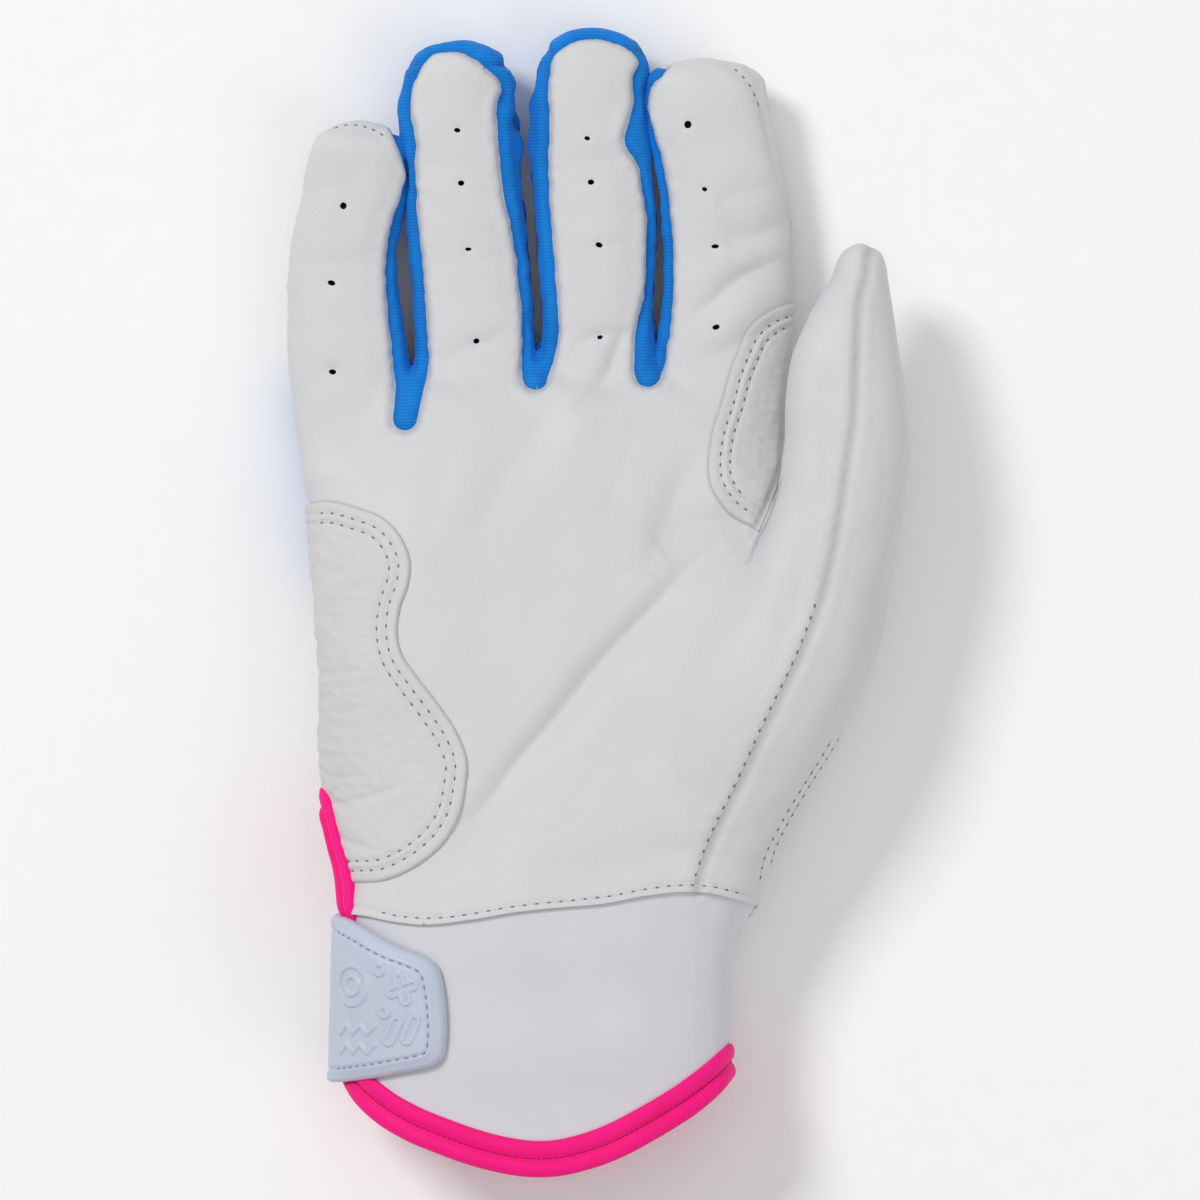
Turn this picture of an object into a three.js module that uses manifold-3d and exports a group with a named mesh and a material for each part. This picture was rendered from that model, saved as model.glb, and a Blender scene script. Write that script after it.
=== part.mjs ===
// A right-hand batting glove that lies on its back with the palm up.
// Millimetres: X runs to the thumb side, Y to the fingertips and Z up out of the palm.
// The hand is a set of lofted tubes. Two offsets of them make a hollow skin, which is then
// cut along its seams into the pieces that a glove maker would sew.
import * as THREE from "three";
import { mergeVertices } from "three/addons/utils/BufferGeometryUtils.js";
import Module from "manifold-3d";

const wasm = await Module();
wasm.setup();

// Driving sizes of the hand and the cuff
const handLength = 168.5;
const handDepth = 30;
const ulnarHalf = 50;
const radialHalf = 50;
const handX = -11;
const handTopY = 50.5;
const knuckleY = 27;
const fingerDepthAtBase = 21;
const fingerDepthAtTip = 15;
const fingertipLift = 5;
const thumbDepth = 26;
const thumbLift = 4;
const thumbTipLift = 10;

// Materials' thicknesses and the clearance that neighbours keep
const wall = 1.1;
const gap = 0.3;
const patchThickness = 0.9;
const tapeThickness = 0.9;
const padThickness = 1;
const strapThickness = 1.8;
const tabThickness = 2.8;

// Seams
const seamInset = 2.3;
const tipFold = 5;
const wristY = -66;
const wristDip = 3;
const knuckleSeamY = 51;
const knuckleSeamRise = 4;
const backSeamY = 4;
const backSeamBow = 7;
const elasticWidth = 11;

// Bound edges: the slit on the little-finger side and the hem
const slitTopY = -40;
const slitHalfWidth = 1.6;
const slitReach = 18;
const tapeWidth = 7.6;
const tapeNose = 1.2;
const hemSideY = -99;
const hemDrop = 21.8;
const hemFullness = 0.9;

// Wrist closure
const closureTopY = -65.8;
const closureBottomY = -101;
const tabReachX = -33.4;
const strapRootX = 14;
const strapRootLength = 12;
const hookLength = 11;
const hookInset = 4.5;
const hookEdge = 5;

// Parameters of the drawing itself
const reach = 220;
const overlap = 0.5;
const domeSteps = 4;
const outlineSteps = 14;
const handSides = 28;
const fingerSides = 16;
const thumbSides = 18;
const tipZoneShare = 1.1;
const handSquareness = 2.5;
const fingerSquareness = 2.3;

// Stations of the hand: along, ulnar side, radial side, underside, palm side
const handShares = [
  [0, 0.832, 0.766, 0.125, 1.33],
  [0.18, 0.832, 0.766, 0.125, 1.33],
  [0.28, 0.835, 0.79, 0.125, 1.3],
  [0.35, 0.85, 0.89, 0.1, 1.22],
  [0.415, 0.9, 0.93, 0.02, 1.16],
  [0.48, 0.93, 0.96, -0.04, 1.12],
  [0.635, 0.95, 1.04, -0.05, 1.06],
  [0.75, 0.98, 1.06, -0.05, 0.97],
  [0.85, 1.01, 1.06, -0.05, 0.84],
  [0.905, 1.04, 1.04, -0.04, 0.74],
];

// Each digit: half width, length, places of its ends, and stations along, left and right
const digits = {
  little: {
    half: 11.5,
    length: 74,
    baseX: -51,
    tipX: -52.5,
    shares: [
      [0, 1.04, 1.1],
      [0.11, 1.14, 1.07],
      [0.21, 1.18, 1.04],
      [0.34, 1.23, 0.97],
      [0.45, 1.24, 0.88],
      [0.57, 1.22, 0.8],
      [0.68, 1.14, 0.85],
      [0.79, 0.96, 1.01],
      [0.88, 0.82, 1.04],
    ],
  },
  ring: {
    half: 12.5,
    length: 91,
    baseX: -26.5,
    tipX: -31.1,
    shares: [
      [0, 1.1, 1.1],
      [0.09, 1.07, 1.14],
      [0.17, 0.99, 1.14],
      [0.26, 0.9, 1.16],
      [0.46, 0.92, 1.11],
      [0.58, 0.95, 1.09],
      [0.69, 0.92, 1.05],
      [0.8, 0.98, 1.07],
      [0.88, 0.92, 1.01],
    ],
  },
  middle: {
    half: 12.5,
    length: 93.8,
    baseX: -0.4,
    tipX: 0,
    shares: [
      [0, 1.1, 1.1],
      [0.09, 1.08, 1.07],
      [0.17, 1.04, 1.02],
      [0.25, 1.01, 0.97],
      [0.34, 0.97, 0.9],
      [0.45, 1.02, 0.94],
      [0.56, 1.08, 0.97],
      [0.67, 1.15, 0.88],
      [0.77, 1.22, 0.83],
      [0.87, 1.15, 0.76],
    ],
  },
  index: {
    half: 13.5,
    length: 87.6,
    baseX: 26,
    tipX: 23.9,
    shares: [
      [0, 1.07, 1.03],
      [0.1, 1.06, 1.09],
      [0.18, 1.03, 1.13],
      [0.27, 0.99, 1.15],
      [0.36, 0.92, 1.16],
      [0.48, 0.86, 1.18],
      [0.6, 0.87, 1.17],
      [0.72, 0.93, 1.05],
      [0.81, 1.03, 0.95],
      [0.88, 1.06, 0.87],
    ],
  },
};
const thumb = {
  half: 15,
  baseY: -64,
  length: 139,
  baseX: 18.9,
  tipX: 57.5,
  // along, left, right, palm-side seam across the width, depth, underside
  shares: [
    [0.03, 0.9, 0.9, 0.52, 0.95, 0.3],
    [0.1, 1, 1.1, 0.55, 1.1, 0.2],
    [0.19, 1.12, 1.33, 0.6, 1.26, 0.12],
    [0.28, 1.16, 1.52, 0.63, 1.34, 0.1],
    [0.37, 1.16, 1.66, 0.64, 1.34, 0.14],
    [0.46, 1.06, 1.6, 0.66, 1.26, 0.3],
    [0.53, 0.88, 1.54, 0.65, 1.16, 0.6],
    [0.61, 0.72, 1.48, 0.6, 1.06, 0.9],
    [0.69, 0.65, 1.33, 0.58, 0.98, 1.1],
    [0.76, 0.7, 1.06, 0.6, 0.92, 1.2],
    [0.84, 0.71, 0.76, 0.61, 0.84, 1.3],
    [0.9, 0.59, 0.52, 0.58, 0.74, 1.36],
    [0.95, 0.42, 0.31, 0.56, 0.6, 1.42],
  ],
};

// The seam that parts palm and back, as heights along the glove
const sideSeamShares = [
  [0, 0.7],
  [0.35, 0.66],
  [0.48, 0.55],
  [0.72, 0.36],
  [0.91, 0.3],
  [1.25, 0.34],
  [1.5, 0.42],
];

// Where the stretch gussets end between the fingers
const littleRingCrotch = { x: -41, y: 35.6 };
const ringMiddleCrotch = { x: -13.7, y: 44.5 };
const middleIndexCrotch = { x: 10.3, y: 45 };

// Outlines of the two patches as shares of their reach across and along
const heelPatch = { x: -66, y: -60, width: 38.4, length: 81 };
const heelPatchShares = [
  [0, 1],
  [0.26, 1],
  [0.45, 0.97],
  [0.58, 0.93],
  [0.67, 0.87],
  [0.685, 0.8],
  [0.63, 0.68],
  [0.64, 0.62],
  [0.7, 0.56],
  [0.86, 0.45],
  [0.96, 0.37],
  [1, 0.28],
  [0.98, 0.21],
  [0.91, 0.14],
  [0.79, 0.07],
  [0.63, 0.02],
  [0.45, 0],
  [0, 0],
];
const crotchPatch = { x: 22.6, y: 15.4, width: 21, length: 48 };
const crotchPatchShares = [
  [0.9, 1],
  [0.62, 0.96],
  [0.36, 0.85],
  [0.22, 0.7],
  [0.1, 0.5],
  [0.01, 0.3],
  [0, 0.2],
  [0.08, 0.12],
  [0.2, 0.05],
  [0.4, 0],
  [0.54, 0.02],
  [0.68, 0.16],
  [0.74, 0.28],
  [0.78, 0.55],
  [0.86, 0.76],
  [1.1, 0.86],
  [1.1, 1],
];

// Where the closure tab's free end starts and stops along the cuff
const tabFootShare = 0.19;
const tabHeadShare = 0.7;

// The closure tab's outline: along its reach from the edge of the wrist, and along the cuff
const tabShares = [
  [0, 1],
  [0.3, 0.88],
  [0.72, 0.76],
  [0.87, tabHeadShare],
  [0.95, 0.62],
  [1, 0.5],
  [1, 0.3],
  [0.95, tabFootShare],
  [0.85, 0.12],
  [0.5, 0.05],
  [0, 0],
];

// The seam on the back between the hand and the thumb, as shares of its reach across and along
const thumbBackSeam = { x: 31, y: -40, width: 12.4, length: 94 };
const thumbBackSeamShares = [
  [0, 0],
  [0.24, 0.34],
  [0.565, 0.68],
  [1, 1],
];

// Solids and meshes
function solidOf(geometry) {
  const bare = geometry.index ? geometry.toNonIndexed() : geometry;
  bare.deleteAttribute("normal");
  bare.deleteAttribute("uv");
  const merged = mergeVertices(bare);
  const mesh = new wasm.Mesh({
    numProp: 3,
    vertProperties: merged.attributes.position.array,
    triVerts: new Uint32Array(merged.index.array),
  });
  return new wasm.Manifold(mesh);
}

function union(solids) {
  return solids.reduce((whole, solid) => whole.add(solid));
}

// A closed skin over rings of points, with a pole at either end.
function loft(rings, firstPole, lastPole) {
  const sides = rings[0].length;
  const points = [firstPole, ...rings.flat(), lastPole];
  const last = points.length - 1;
  const faces = [];
  for (let side = 0; side < sides; side++) {
    const next = (side + 1) % sides;
    faces.push(0, 1 + side, 1 + next);
    for (let ring = 1; ring < rings.length; ring++) {
      const low = 1 + (ring - 1) * sides;
      const high = low + sides;
      faces.push(low + side, high + side, high + next);
      faces.push(low + side, high + next, low + next);
    }
    const top = last - sides;
    faces.push(last, top + next, top + side);
  }
  const geometry = new THREE.BufferGeometry();
  geometry.setFromPoints(points);
  geometry.setIndex(faces);
  return solidOf(geometry);
}

// A right prism through the whole glove, over an outline in XY.
function prismUp(outline) {
  const shape = new THREE.Shape(outline.map(([x, y]) => new THREE.Vector2(x, y)));
  const geometry = new THREE.ExtrudeGeometry(shape, {
    depth: 2 * reach,
    bevelEnabled: false,
  });
  geometry.translate(0, 0, -reach);
  return solidOf(geometry);
}

// A prism across the glove from one X to another, over an outline in YZ.
function prismAcross(outline, fromX, toX) {
  const shape = new THREE.Shape(outline.map(([y, z]) => new THREE.Vector2(y, z)));
  const geometry = new THREE.ExtrudeGeometry(shape, {
    depth: toX - fromX,
    bevelEnabled: false,
  });
  geometry.applyMatrix4(
    new THREE.Matrix4().set(0, 0, 1, fromX, 1, 0, 0, 0, 0, 1, 0, 0, 0, 0, 0, 1),
  );
  return solidOf(geometry);
}

function blockAbove(z) {
  return prismAcross([[-reach, z], [reach, z], [reach, reach], [-reach, reach]], -reach, reach);
}

// Where a seam runs at a given Y, read along a list of points.
function along(points, y) {
  const after = points.findIndex((point) => point[0] >= y);
  if (after === 0) return points[0][1];
  if (after < 0) return points.at(-1)[1];
  const [y0, v0] = points[after - 1];
  const [y1, v1] = points[after];
  return v0 + ((v1 - v0) * (y - y0)) / (y1 - y0);
}

// An outline given as shares of a frame, in its place.
function placed(frame, shares) {
  return shares.map(([across, up]) => [frame.x + across * frame.width, frame.y + up * frame.length]);
}

// Lofted tubes. A station is a section across Y: its middle, half width and half depth.
function tube(stations, sides, squareness, offset, ends) {
  const first = stations[0];
  const last = stations.at(-1);
  const steps = Array.from({ length: domeSteps - 1 }, (_, i) => ((i + 1) / domeSteps) * (Math.PI / 2));
  const foot = ends.foot - offset;
  const tip = ends.tip + offset;
  const dome = (station, pole, angle) => ({
    ...station,
    y: station.y + (pole - station.y) * Math.sin(angle),
    scale: Math.cos(angle),
  });
  const all = [
    ...steps.map((angle) => dome(first, foot, angle)).reverse(),
    ...stations,
    ...steps.map((angle) => dome(last, tip, angle)),
  ];
  const rings = all.map((station) => section(station, sides, squareness, offset));
  return loft(
    rings,
    new THREE.Vector3(first.x, foot, first.z),
    new THREE.Vector3(last.x, tip, last.z),
  );
}

function section(station, sides, squareness, offset) {
  const scale = station.scale ?? 1;
  const power = 2 / squareness;
  return Array.from({ length: sides }, (_, i) => {
    const angle = ((i + 0.5) / sides) * 2 * Math.PI;
    const across = Math.sign(Math.cos(angle)) * Math.abs(Math.cos(angle)) ** power;
    const up = Math.sign(Math.sin(angle)) * Math.abs(Math.sin(angle)) ** power;
    return new THREE.Vector3(
      station.x + (station.half + offset) * scale * across,
      station.y,
      station.z + (station.deep + offset) * scale * up,
    );
  });
}

const handFootY = handTopY - handLength;

function handTube(offset) {
  const stations = handShares.map(([share, left, right, low, high]) => ({
    x: handX + (right * radialHalf - left * ulnarHalf) / 2,
    y: handFootY + share * handLength,
    z: (handDepth * (low + high)) / 2,
    half: (right * radialHalf + left * ulnarHalf) / 2,
    deep: (handDepth * (high - low)) / 2,
  }));
  const ends = { foot: handFootY - hemDrop, tip: handTopY };
  return tube(stations, handSides, handSquareness, offset, ends);
}

// A finger's outline in XY at an offset, with its rounded tip.
function fingerEdges(digit, offset) {
  const rows = digit.shares.map(([share, left, right]) => {
    const axis = digit.baseX + (digit.tipX - digit.baseX) * share;
    return {
      y: knuckleY + share * digit.length,
      share,
      left: axis - left * digit.half,
      right: axis + right * digit.half,
    };
  });
  const last = rows.at(-1);
  const middle = (last.left + last.right) / 2;
  const half = (last.right - last.left) / 2 + offset;
  const tipY = knuckleY + digit.length + offset;
  const edge = (side) => rows.map((row) => [row[side] + (side === "left" ? -offset : offset), row.y]);
  const cap = Array.from({ length: 2 * domeSteps - 1 }, (_, i) => {
    const angle = Math.PI - ((i + 1) / (2 * domeSteps)) * Math.PI;
    return [middle + half * Math.cos(angle), last.y + (tipY - last.y) * Math.sin(angle)];
  });
  return { rows, left: edge("left"), cap, right: edge("right").reverse() };
}

function fingerTube(digit, offset) {
  const stations = fingerEdges(digit, 0).rows.map((row) => {
    const depth = fingerDepthAtBase + (fingerDepthAtTip - fingerDepthAtBase) * Math.sqrt(row.share);
    return {
      x: (row.left + row.right) / 2,
      y: row.y,
      z: fingertipLift * row.share ** 2 + depth / 2,
      half: (row.right - row.left) / 2,
      deep: depth / 2,
    };
  });
  const ends = { foot: knuckleY - digit.half, tip: knuckleY + digit.length };
  return tube(stations, fingerSides, fingerSquareness, offset, ends);
}

function thumbRows() {
  return thumb.shares.map(([share, left, right, seam, depth, low]) => {
    const axis = thumb.baseX + (thumb.tipX - thumb.baseX) * share;
    const leftX = axis - left * thumb.half;
    const rightX = axis + right * thumb.half;
    return {
      x: (leftX + rightX) / 2,
      y: thumb.baseY + share * thumb.length,
      z: thumbLift + low * thumbTipLift + (depth * thumbDepth) / 2,
      half: (rightX - leftX) / 2,
      deep: (depth * thumbDepth) / 2,
      seamX: leftX + seam * (rightX - leftX),
    };
  });
}

function thumbTube(offset) {
  const ends = { foot: thumb.baseY - thumb.half / 2, tip: thumb.baseY + thumb.length };
  return tube(thumbRows(), thumbSides, fingerSquareness, offset, ends);
}

const fingers = Object.values(digits);

function body(offset) {
  const tubes = [handTube(offset), ...fingers.map((digit) => fingerTube(digit, offset)), thumbTube(offset)];
  return union(tubes).intersect(blockAbove(-offset));
}

// Seam lines
const sideSeam = sideSeamShares.map(([share, height]) => [
  handFootY + share * handLength,
  height * handDepth,
]);

function paperAbove(lift) {
  const line = sideSeam.map(([y, z]) => [y, z + lift]);
  const outline = [[-reach, line[0][1]], ...line, [reach, line.at(-1)[1]], [reach, reach], [-reach, reach]];
  return prismAcross(outline, -reach, reach);
}

function paperBelow(drop) {
  const line = sideSeam.map(([y, z]) => [y, z - drop]);
  const outline = [[-reach, line[0][1]], ...line, [reach, line.at(-1)[1]], [reach, -reach], [-reach, -reach]];
  return prismAcross(outline, -reach, reach);
}

// A line of points from the little-finger side to the thumb side, bowed by a half wave.
function bowed(y, bow) {
  const from = handX - ulnarHalf;
  const to = handX + radialHalf;
  return Array.from({ length: outlineSteps + 1 }, (_, i) => {
    const share = i / outlineSteps;
    return [from + (to - from) * share, y + bow * Math.sin(Math.PI * share)];
  });
}

function stretched(line) {
  return [[-reach, line[0][1]], ...line, [reach, line.at(-1)[1]]];
}

function bandUnder(line, drop) {
  const moved = stretched(line).map(([x, y]) => [x, y - drop]);
  return prismUp([...moved, [reach, -reach], [-reach, -reach]]);
}

function bandOver(line, lift) {
  const moved = stretched(line).map(([x, y]) => [x, y + lift]);
  return prismUp([...moved, [reach, reach], [-reach, reach]]);
}

const wristLine = bowed(wristY, wristDip);
const knuckleLine = bowed(knuckleSeamY - knuckleSeamRise, knuckleSeamRise);
const backLine = bowed(backSeamY, backSeamBow);
const elasticLine = wristLine.map(([x, y]) => [x, y + elasticWidth]);

// The hem hangs lower in the middle of the palm than at the sides.
const cuffRow = handShares[0];
const cuffLeft = handX - cuffRow[1] * ulnarHalf;
const cuffRight = handX + cuffRow[2] * radialHalf;
const hemLine = Array.from({ length: outlineSteps + 1 }, (_, i) => {
  const share = i / outlineSteps;
  const drop = Math.sin(Math.PI * share) ** hemFullness;
  return [cuffLeft + (cuffRight - cuffLeft) * share, hemSideY - hemDrop * drop];
});

function slitWedge(grow) {
  const foot = handFootY - hemDrop - reach;
  const z = (y) => along(sideSeam, y);
  const wide = slitHalfWidth + grow;
  const outline = [
    [slitTopY + grow, z(slitTopY) - grow / 2],
    [slitTopY + grow, z(slitTopY) + grow / 2],
    [slitTopY - wide, z(slitTopY) + wide],
    [wristY, z(wristY) + wide],
    [handFootY, z(handFootY) + wide],
    [foot, z(handFootY) + wide],
    [foot, z(handFootY) - wide],
    [handFootY, z(handFootY) - wide],
    [wristY, z(wristY) - wide],
    [slitTopY - wide, z(slitTopY) - wide],
  ];
  const open = grow > 0 ? outline : [[slitTopY, z(slitTopY)], ...outline.slice(2)];
  return prismAcross(open, -reach, cuffLeft + slitReach);
}

// The palm's own pattern piece, grown or shrunk by a margin.
function palmOutline(grow) {
  const crotch = ({ x, y }) => [x, y + grow];
  const inset = grow - seamInset;
  const little = fingerEdges(digits.little, inset);
  const ring = fingerEdges(digits.ring, inset);
  const middle = fingerEdges(digits.middle, inset);
  const index = fingerEdges(digits.index, inset);
  const over = (points, y) => points.filter((point) => point[1] > y);
  const littleTop = little.right[0];
  const indexTop = index.left.at(-1);
  const littleGap = (littleTop[0] + seamInset + fingerEdges(digits.ring, 0).left.at(-1)[0]) / 2;
  const indexGap = (indexTop[0] - seamInset + fingerEdges(digits.middle, 0).right[0][0]) / 2;
  const crotchTop = knuckleSeamY - knuckleSeamRise;
  const seam = thumbRows().map((row) => [row.seamX + grow, row.y]).reverse();
  const wrist = wristLine.filter(([x]) => x < seam.at(-1)[0]).reverse();
  return [
    [-reach, wristLine[0][1] - grow],
    [-reach, reach],
    [littleGap + grow, reach],
    [littleGap + grow, littleTop[1] - grow],
    ...over(little.right, crotchTop),
    crotch(littleRingCrotch),
    ...over(ring.left, crotchTop),
    ...ring.cap,
    ...over(ring.right, crotchTop),
    crotch(ringMiddleCrotch),
    ...over(middle.left, crotchTop),
    ...middle.cap,
    ...over(middle.right, crotchTop),
    crotch(middleIndexCrotch),
    ...over(index.left, crotchTop),
    [indexGap - grow, indexTop[1] - grow],
    [indexGap - grow, reach],
    [thumb.tipX + grow, reach],
    [thumb.tipX + grow, thumb.baseY + thumb.length],
    ...seam,
    [seam.at(-1)[0], along(wristLine, seam.at(-1)[0]) - grow],
    ...wrist.map(([x, y]) => [x, y - grow]),
  ];
}

// Everything on the thumb side of the thumb's palm seam.
function thumbFront(margin) {
  const seam = thumbRows().map((row) => [row.seamX + margin, row.y]);
  return prismUp([
    [seam[0][0], -reach],
    ...seam,
    [thumb.tipX + margin, thumb.baseY + thumb.length],
    [thumb.tipX + margin, reach],
    [reach, reach],
    [reach, -reach],
  ]);
}

// Everything on the thumb side of the thumb's seam on the back.
const thumbBackLine = placed(thumbBackSeam, thumbBackSeamShares);

function thumbBack(margin) {
  const seam = thumbBackLine.map(([x, y]) => [x - margin, y]);
  return prismUp([
    [seam[0][0], -reach],
    ...seam,
    [seam.at(-1)[0], reach],
    [reach, reach],
    [reach, -reach],
  ]);
}

// A strip of the plan between two X lines
function strip(fromX, toX) {
  return prismUp([[fromX, -reach], [toX, -reach], [toX, reach], [fromX, reach]]);
}

// The skin of the glove, and the same with a clear margin on both faces
function skin(outside, inside) {
  return body(outside).subtract(body(-inside));
}

const clearOfEdges = tapeNose + gap;
const panels = skin(0, wall)
  .subtract(slitWedge(clearOfEdges))
  .subtract(bandUnder(hemLine, -clearOfEdges));
const palmSide = panels.intersect(paperAbove(gap / 2));
const backSide = panels.intersect(paperBelow(gap / 2));
const handPart = bandOver(wristLine, 0);
const fingerPart = bandOver([[handX, backSeamY]], 0);

function palmLeather() {
  return palmSide.intersect(prismUp(palmOutline(0)));
}

function thumbOuter() {
  const front = palmSide.intersect(thumbFront(gap));
  const back = backSide.intersect(thumbBack(0));
  const bridge = panels.intersect(paperAbove(-overlap)).intersect(thumbFront(gap)).intersect(thumbBack(0));
  return union([front, back, bridge]).intersect(handPart);
}

// The stretch gusset between two fingers, from one tip down to the crotch and up again.
function gusset(left, right) {
  const from = (left.baseX + left.tipX) / 2;
  const to = (right.baseX + right.tipX) / 2;
  const leather = prismUp(palmOutline(gap));
  const tipY = (digit) => knuckleY + digit.length;
  const folds = [left, right]
    .filter((digit) => digit === digits.ring || digit === digits.middle)
    .map((digit) => tipZone(digit, tipY(digit) - tipFold - gap));
  const strips = palmSide.intersect(strip(from, to)).intersect(fingerPart).subtract(leather);
  return folds.reduce((solid, fold) => solid.subtract(fold), strips);
}

function tipZone(digit, fromY) {
  const left = digit.tipX - tipZoneShare * digit.half;
  const right = digit.tipX + tipZoneShare * digit.half;
  return prismUp([[left, fromY], [right, fromY], [right, reach], [left, reach]]);
}

// The middle of the air between two neighbouring fingers, as a line up the glove.
function parting(left, right) {
  const edgeOf = (digit, side) => fingerEdges(digit, 0).rows.map((row) => [row.y, row[side]]);
  const ys = fingerEdges(left, 0).rows.map((row) => row.y);
  return ys.map((y) => [(along(edgeOf(left, "right"), y) + along(edgeOf(right, "left"), y)) / 2, y]);
}

// The part of the plan between two such lines, each kept clear of by half a gap.
function between(leftLine, rightLine) {
  const up = leftLine.map(([x, y]) => [x + gap / 2, y]);
  const down = rightLine.map(([x, y]) => [x - gap / 2, y]).reverse();
  const low = (point) => [point[0], -reach];
  const high = (point) => [point[0], reach];
  return prismUp([low(up[0]), ...up, high(up.at(-1)), high(down[0]), ...down, low(down.at(-1))]);
}

function fingerBack(digit, leftLine, rightLine, folds) {
  const zone = between(leftLine, rightLine).intersect(bandOver(knuckleLine, gap / 2));
  const back = backSide.intersect(zone);
  if (!folds) return back;
  const top = tipZone(digit, knuckleY + digit.length - tipFold);
  const fold = panels.intersect(top).subtract(prismUp(palmOutline(gap)).intersect(paperAbove(0)));
  return back.add(fold);
}

function knucklePanel() {
  return backSide
    .intersect(bandUnder(knuckleLine, gap / 2))
    .intersect(bandOver(backLine, gap / 2))
    .subtract(thumbBack(gap));
}

function backLeather() {
  return backSide
    .intersect(bandUnder(backLine, gap / 2))
    .intersect(bandOver(elasticLine, gap / 2))
    .subtract(thumbBack(gap));
}

function wristElastic() {
  return backSide
    .intersect(bandUnder(elasticLine, gap / 2))
    .intersect(bandOver(wristLine, gap / 2))
    .subtract(thumbBack(gap));
}

// A patch laid over tubes at the clearance.
function patch(makeTube, frame, shares, from, thickness) {
  const layer = makeTube(from + thickness).subtract(makeTube(from));
  return layer.intersect(prismUp(placed(frame, shares))).intersect(paperAbove(gap / 2));
}

function heelPatchSolid() {
  const under = (offset) => union([handTube(offset), fingerTube(digits.little, offset)]);
  const laid = patch(under, heelPatch, heelPatchShares, gap, patchThickness);
  return laid.subtract(slitWedge(tapeWidth + gap));
}

function crotchPatchSolid() {
  const under = (offset) => union([handTube(offset), fingerTube(digits.index, offset)]);
  const laid = patch(under, crotchPatch, crotchPatchShares, gap, patchThickness);
  return laid.subtract(thumbTube(gap)).subtract(prismUp(gussetZone()));
}

function gussetZone() {
  const edge = fingerEdges(digits.index, gap - seamInset).left;
  return [[edge[0][0], -reach], ...edge, [edge.at(-1)[0], reach], [-reach, reach], [-reach, -reach]];
}

function edgeBinding() {
  const outer = skin(gap + tapeThickness, wall + gap + tapeThickness);
  const zone = bandUnder(hemLine, -tapeWidth).add(slitWedge(tapeWidth));
  const held = skin(gap, wall + gap).subtract(slitWedge(tapeNose)).subtract(bandUnder(hemLine, -tapeNose));
  return outer
    .intersect(zone)
    .subtract(held)
    .subtract(slitWedge(0))
    .subtract(bandUnder(hemLine, 0))
    .intersect(blockAbove(0));
}

// Closure
const tapeTop = gap + tapeThickness;
const strapInside = tapeTop + gap;
const tabLeft = cuffLeft - strapInside - tabThickness;
const hingeZ = along(sideSeam, (closureTopY + closureBottomY) / 2);
const tabFrame = {
  x: tabLeft,
  y: closureBottomY,
  width: tabReachX - tabLeft,
  length: closureTopY - closureBottomY,
};

function ringLayer(inside, thickness) {
  return handTube(inside + thickness).subtract(handTube(inside));
}

function hookZone(margin) {
  const left = tabReachX - hookInset - hookLength - margin;
  const right = tabReachX - hookInset + margin;
  const bottom = tabFrame.y + tabFootShare * tabFrame.length + hookEdge - margin;
  const top = tabFrame.y + tabHeadShare * tabFrame.length - hookEdge + margin;
  const zone = prismUp([[left, bottom], [right, bottom], [right, top], [left, top]]);
  return zone.intersect(blockAbove(hingeZ));
}

function strapTab() {
  const outline = placed(tabFrame, tabShares);
  outline[0][0] = -reach;
  outline.at(-1)[0] = -reach;
  const layer = ringLayer(strapInside, tabThickness);
  const seat = handTube(strapInside + padThickness + gap).intersect(hookZone(gap));
  return layer.intersect(prismUp(outline)).intersect(blockAbove(hingeZ + gap / 2)).subtract(seat);
}

function hookPad() {
  return ringLayer(strapInside, padThickness).intersect(hookZone(0));
}

function loopPad() {
  const pad = ringLayer(gap, tapeThickness).intersect(hookZone(hookEdge / 2));
  return pad.subtract(slitWedge(tapeWidth + gap)).subtract(bandUnder(hemLine, -tapeWidth - gap));
}

function strap() {
  const run = prismUp([
    [-reach, closureBottomY],
    [strapRootX, closureBottomY],
    [strapRootX, closureTopY],
    [-reach, closureTopY],
  ]);
  const root = strip(strapRootX - strapRootLength, strapRootX);
  const low = blockAbove(0).subtract(blockAbove(hingeZ - gap / 2));
  const free = ringLayer(strapInside, strapThickness);
  const sewn = ringLayer(gap, strapInside).intersect(root);
  return free.add(sewn).intersect(run).intersect(low);
}

function cuffPalm() {
  return palmSide.intersect(bandUnder(wristLine, gap));
}

function cuffBack() {
  return backSide.intersect(bandUnder(wristLine, gap));
}

// Finishes
const finishes = {
  leather: { color: 0xdedede, roughness: 0.55, metalness: 0 },
  patchLeather: { color: 0xd8d6d7, roughness: 0.6, metalness: 0 },
  stretch: { color: 0x0f68b7, roughness: 0.8, metalness: 0 },
  binding: { color: 0xf01d74, roughness: 0.75, metalness: 0 },
  cuffFabric: { color: 0xcbcad0, roughness: 0.7, metalness: 0 },
  rubber: { color: 0xb9c0d0, roughness: 0.5, metalness: 0 },
  webbing: { color: 0x2a2c33, roughness: 0.85, metalness: 0 },
};

const glove = new THREE.Group();

function addPiece(name, solid, finish) {
  const mesh = solid.getMesh();
  const geometry = new THREE.BufferGeometry();
  geometry.setAttribute("position", new THREE.BufferAttribute(mesh.vertProperties, mesh.numProp));
  geometry.setIndex(new THREE.BufferAttribute(mesh.triVerts, 1));
  const piece = new THREE.Mesh(geometry, new THREE.MeshStandardMaterial(finishes[finish]));
  piece.name = name;
  glove.add(piece);
}

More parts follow.
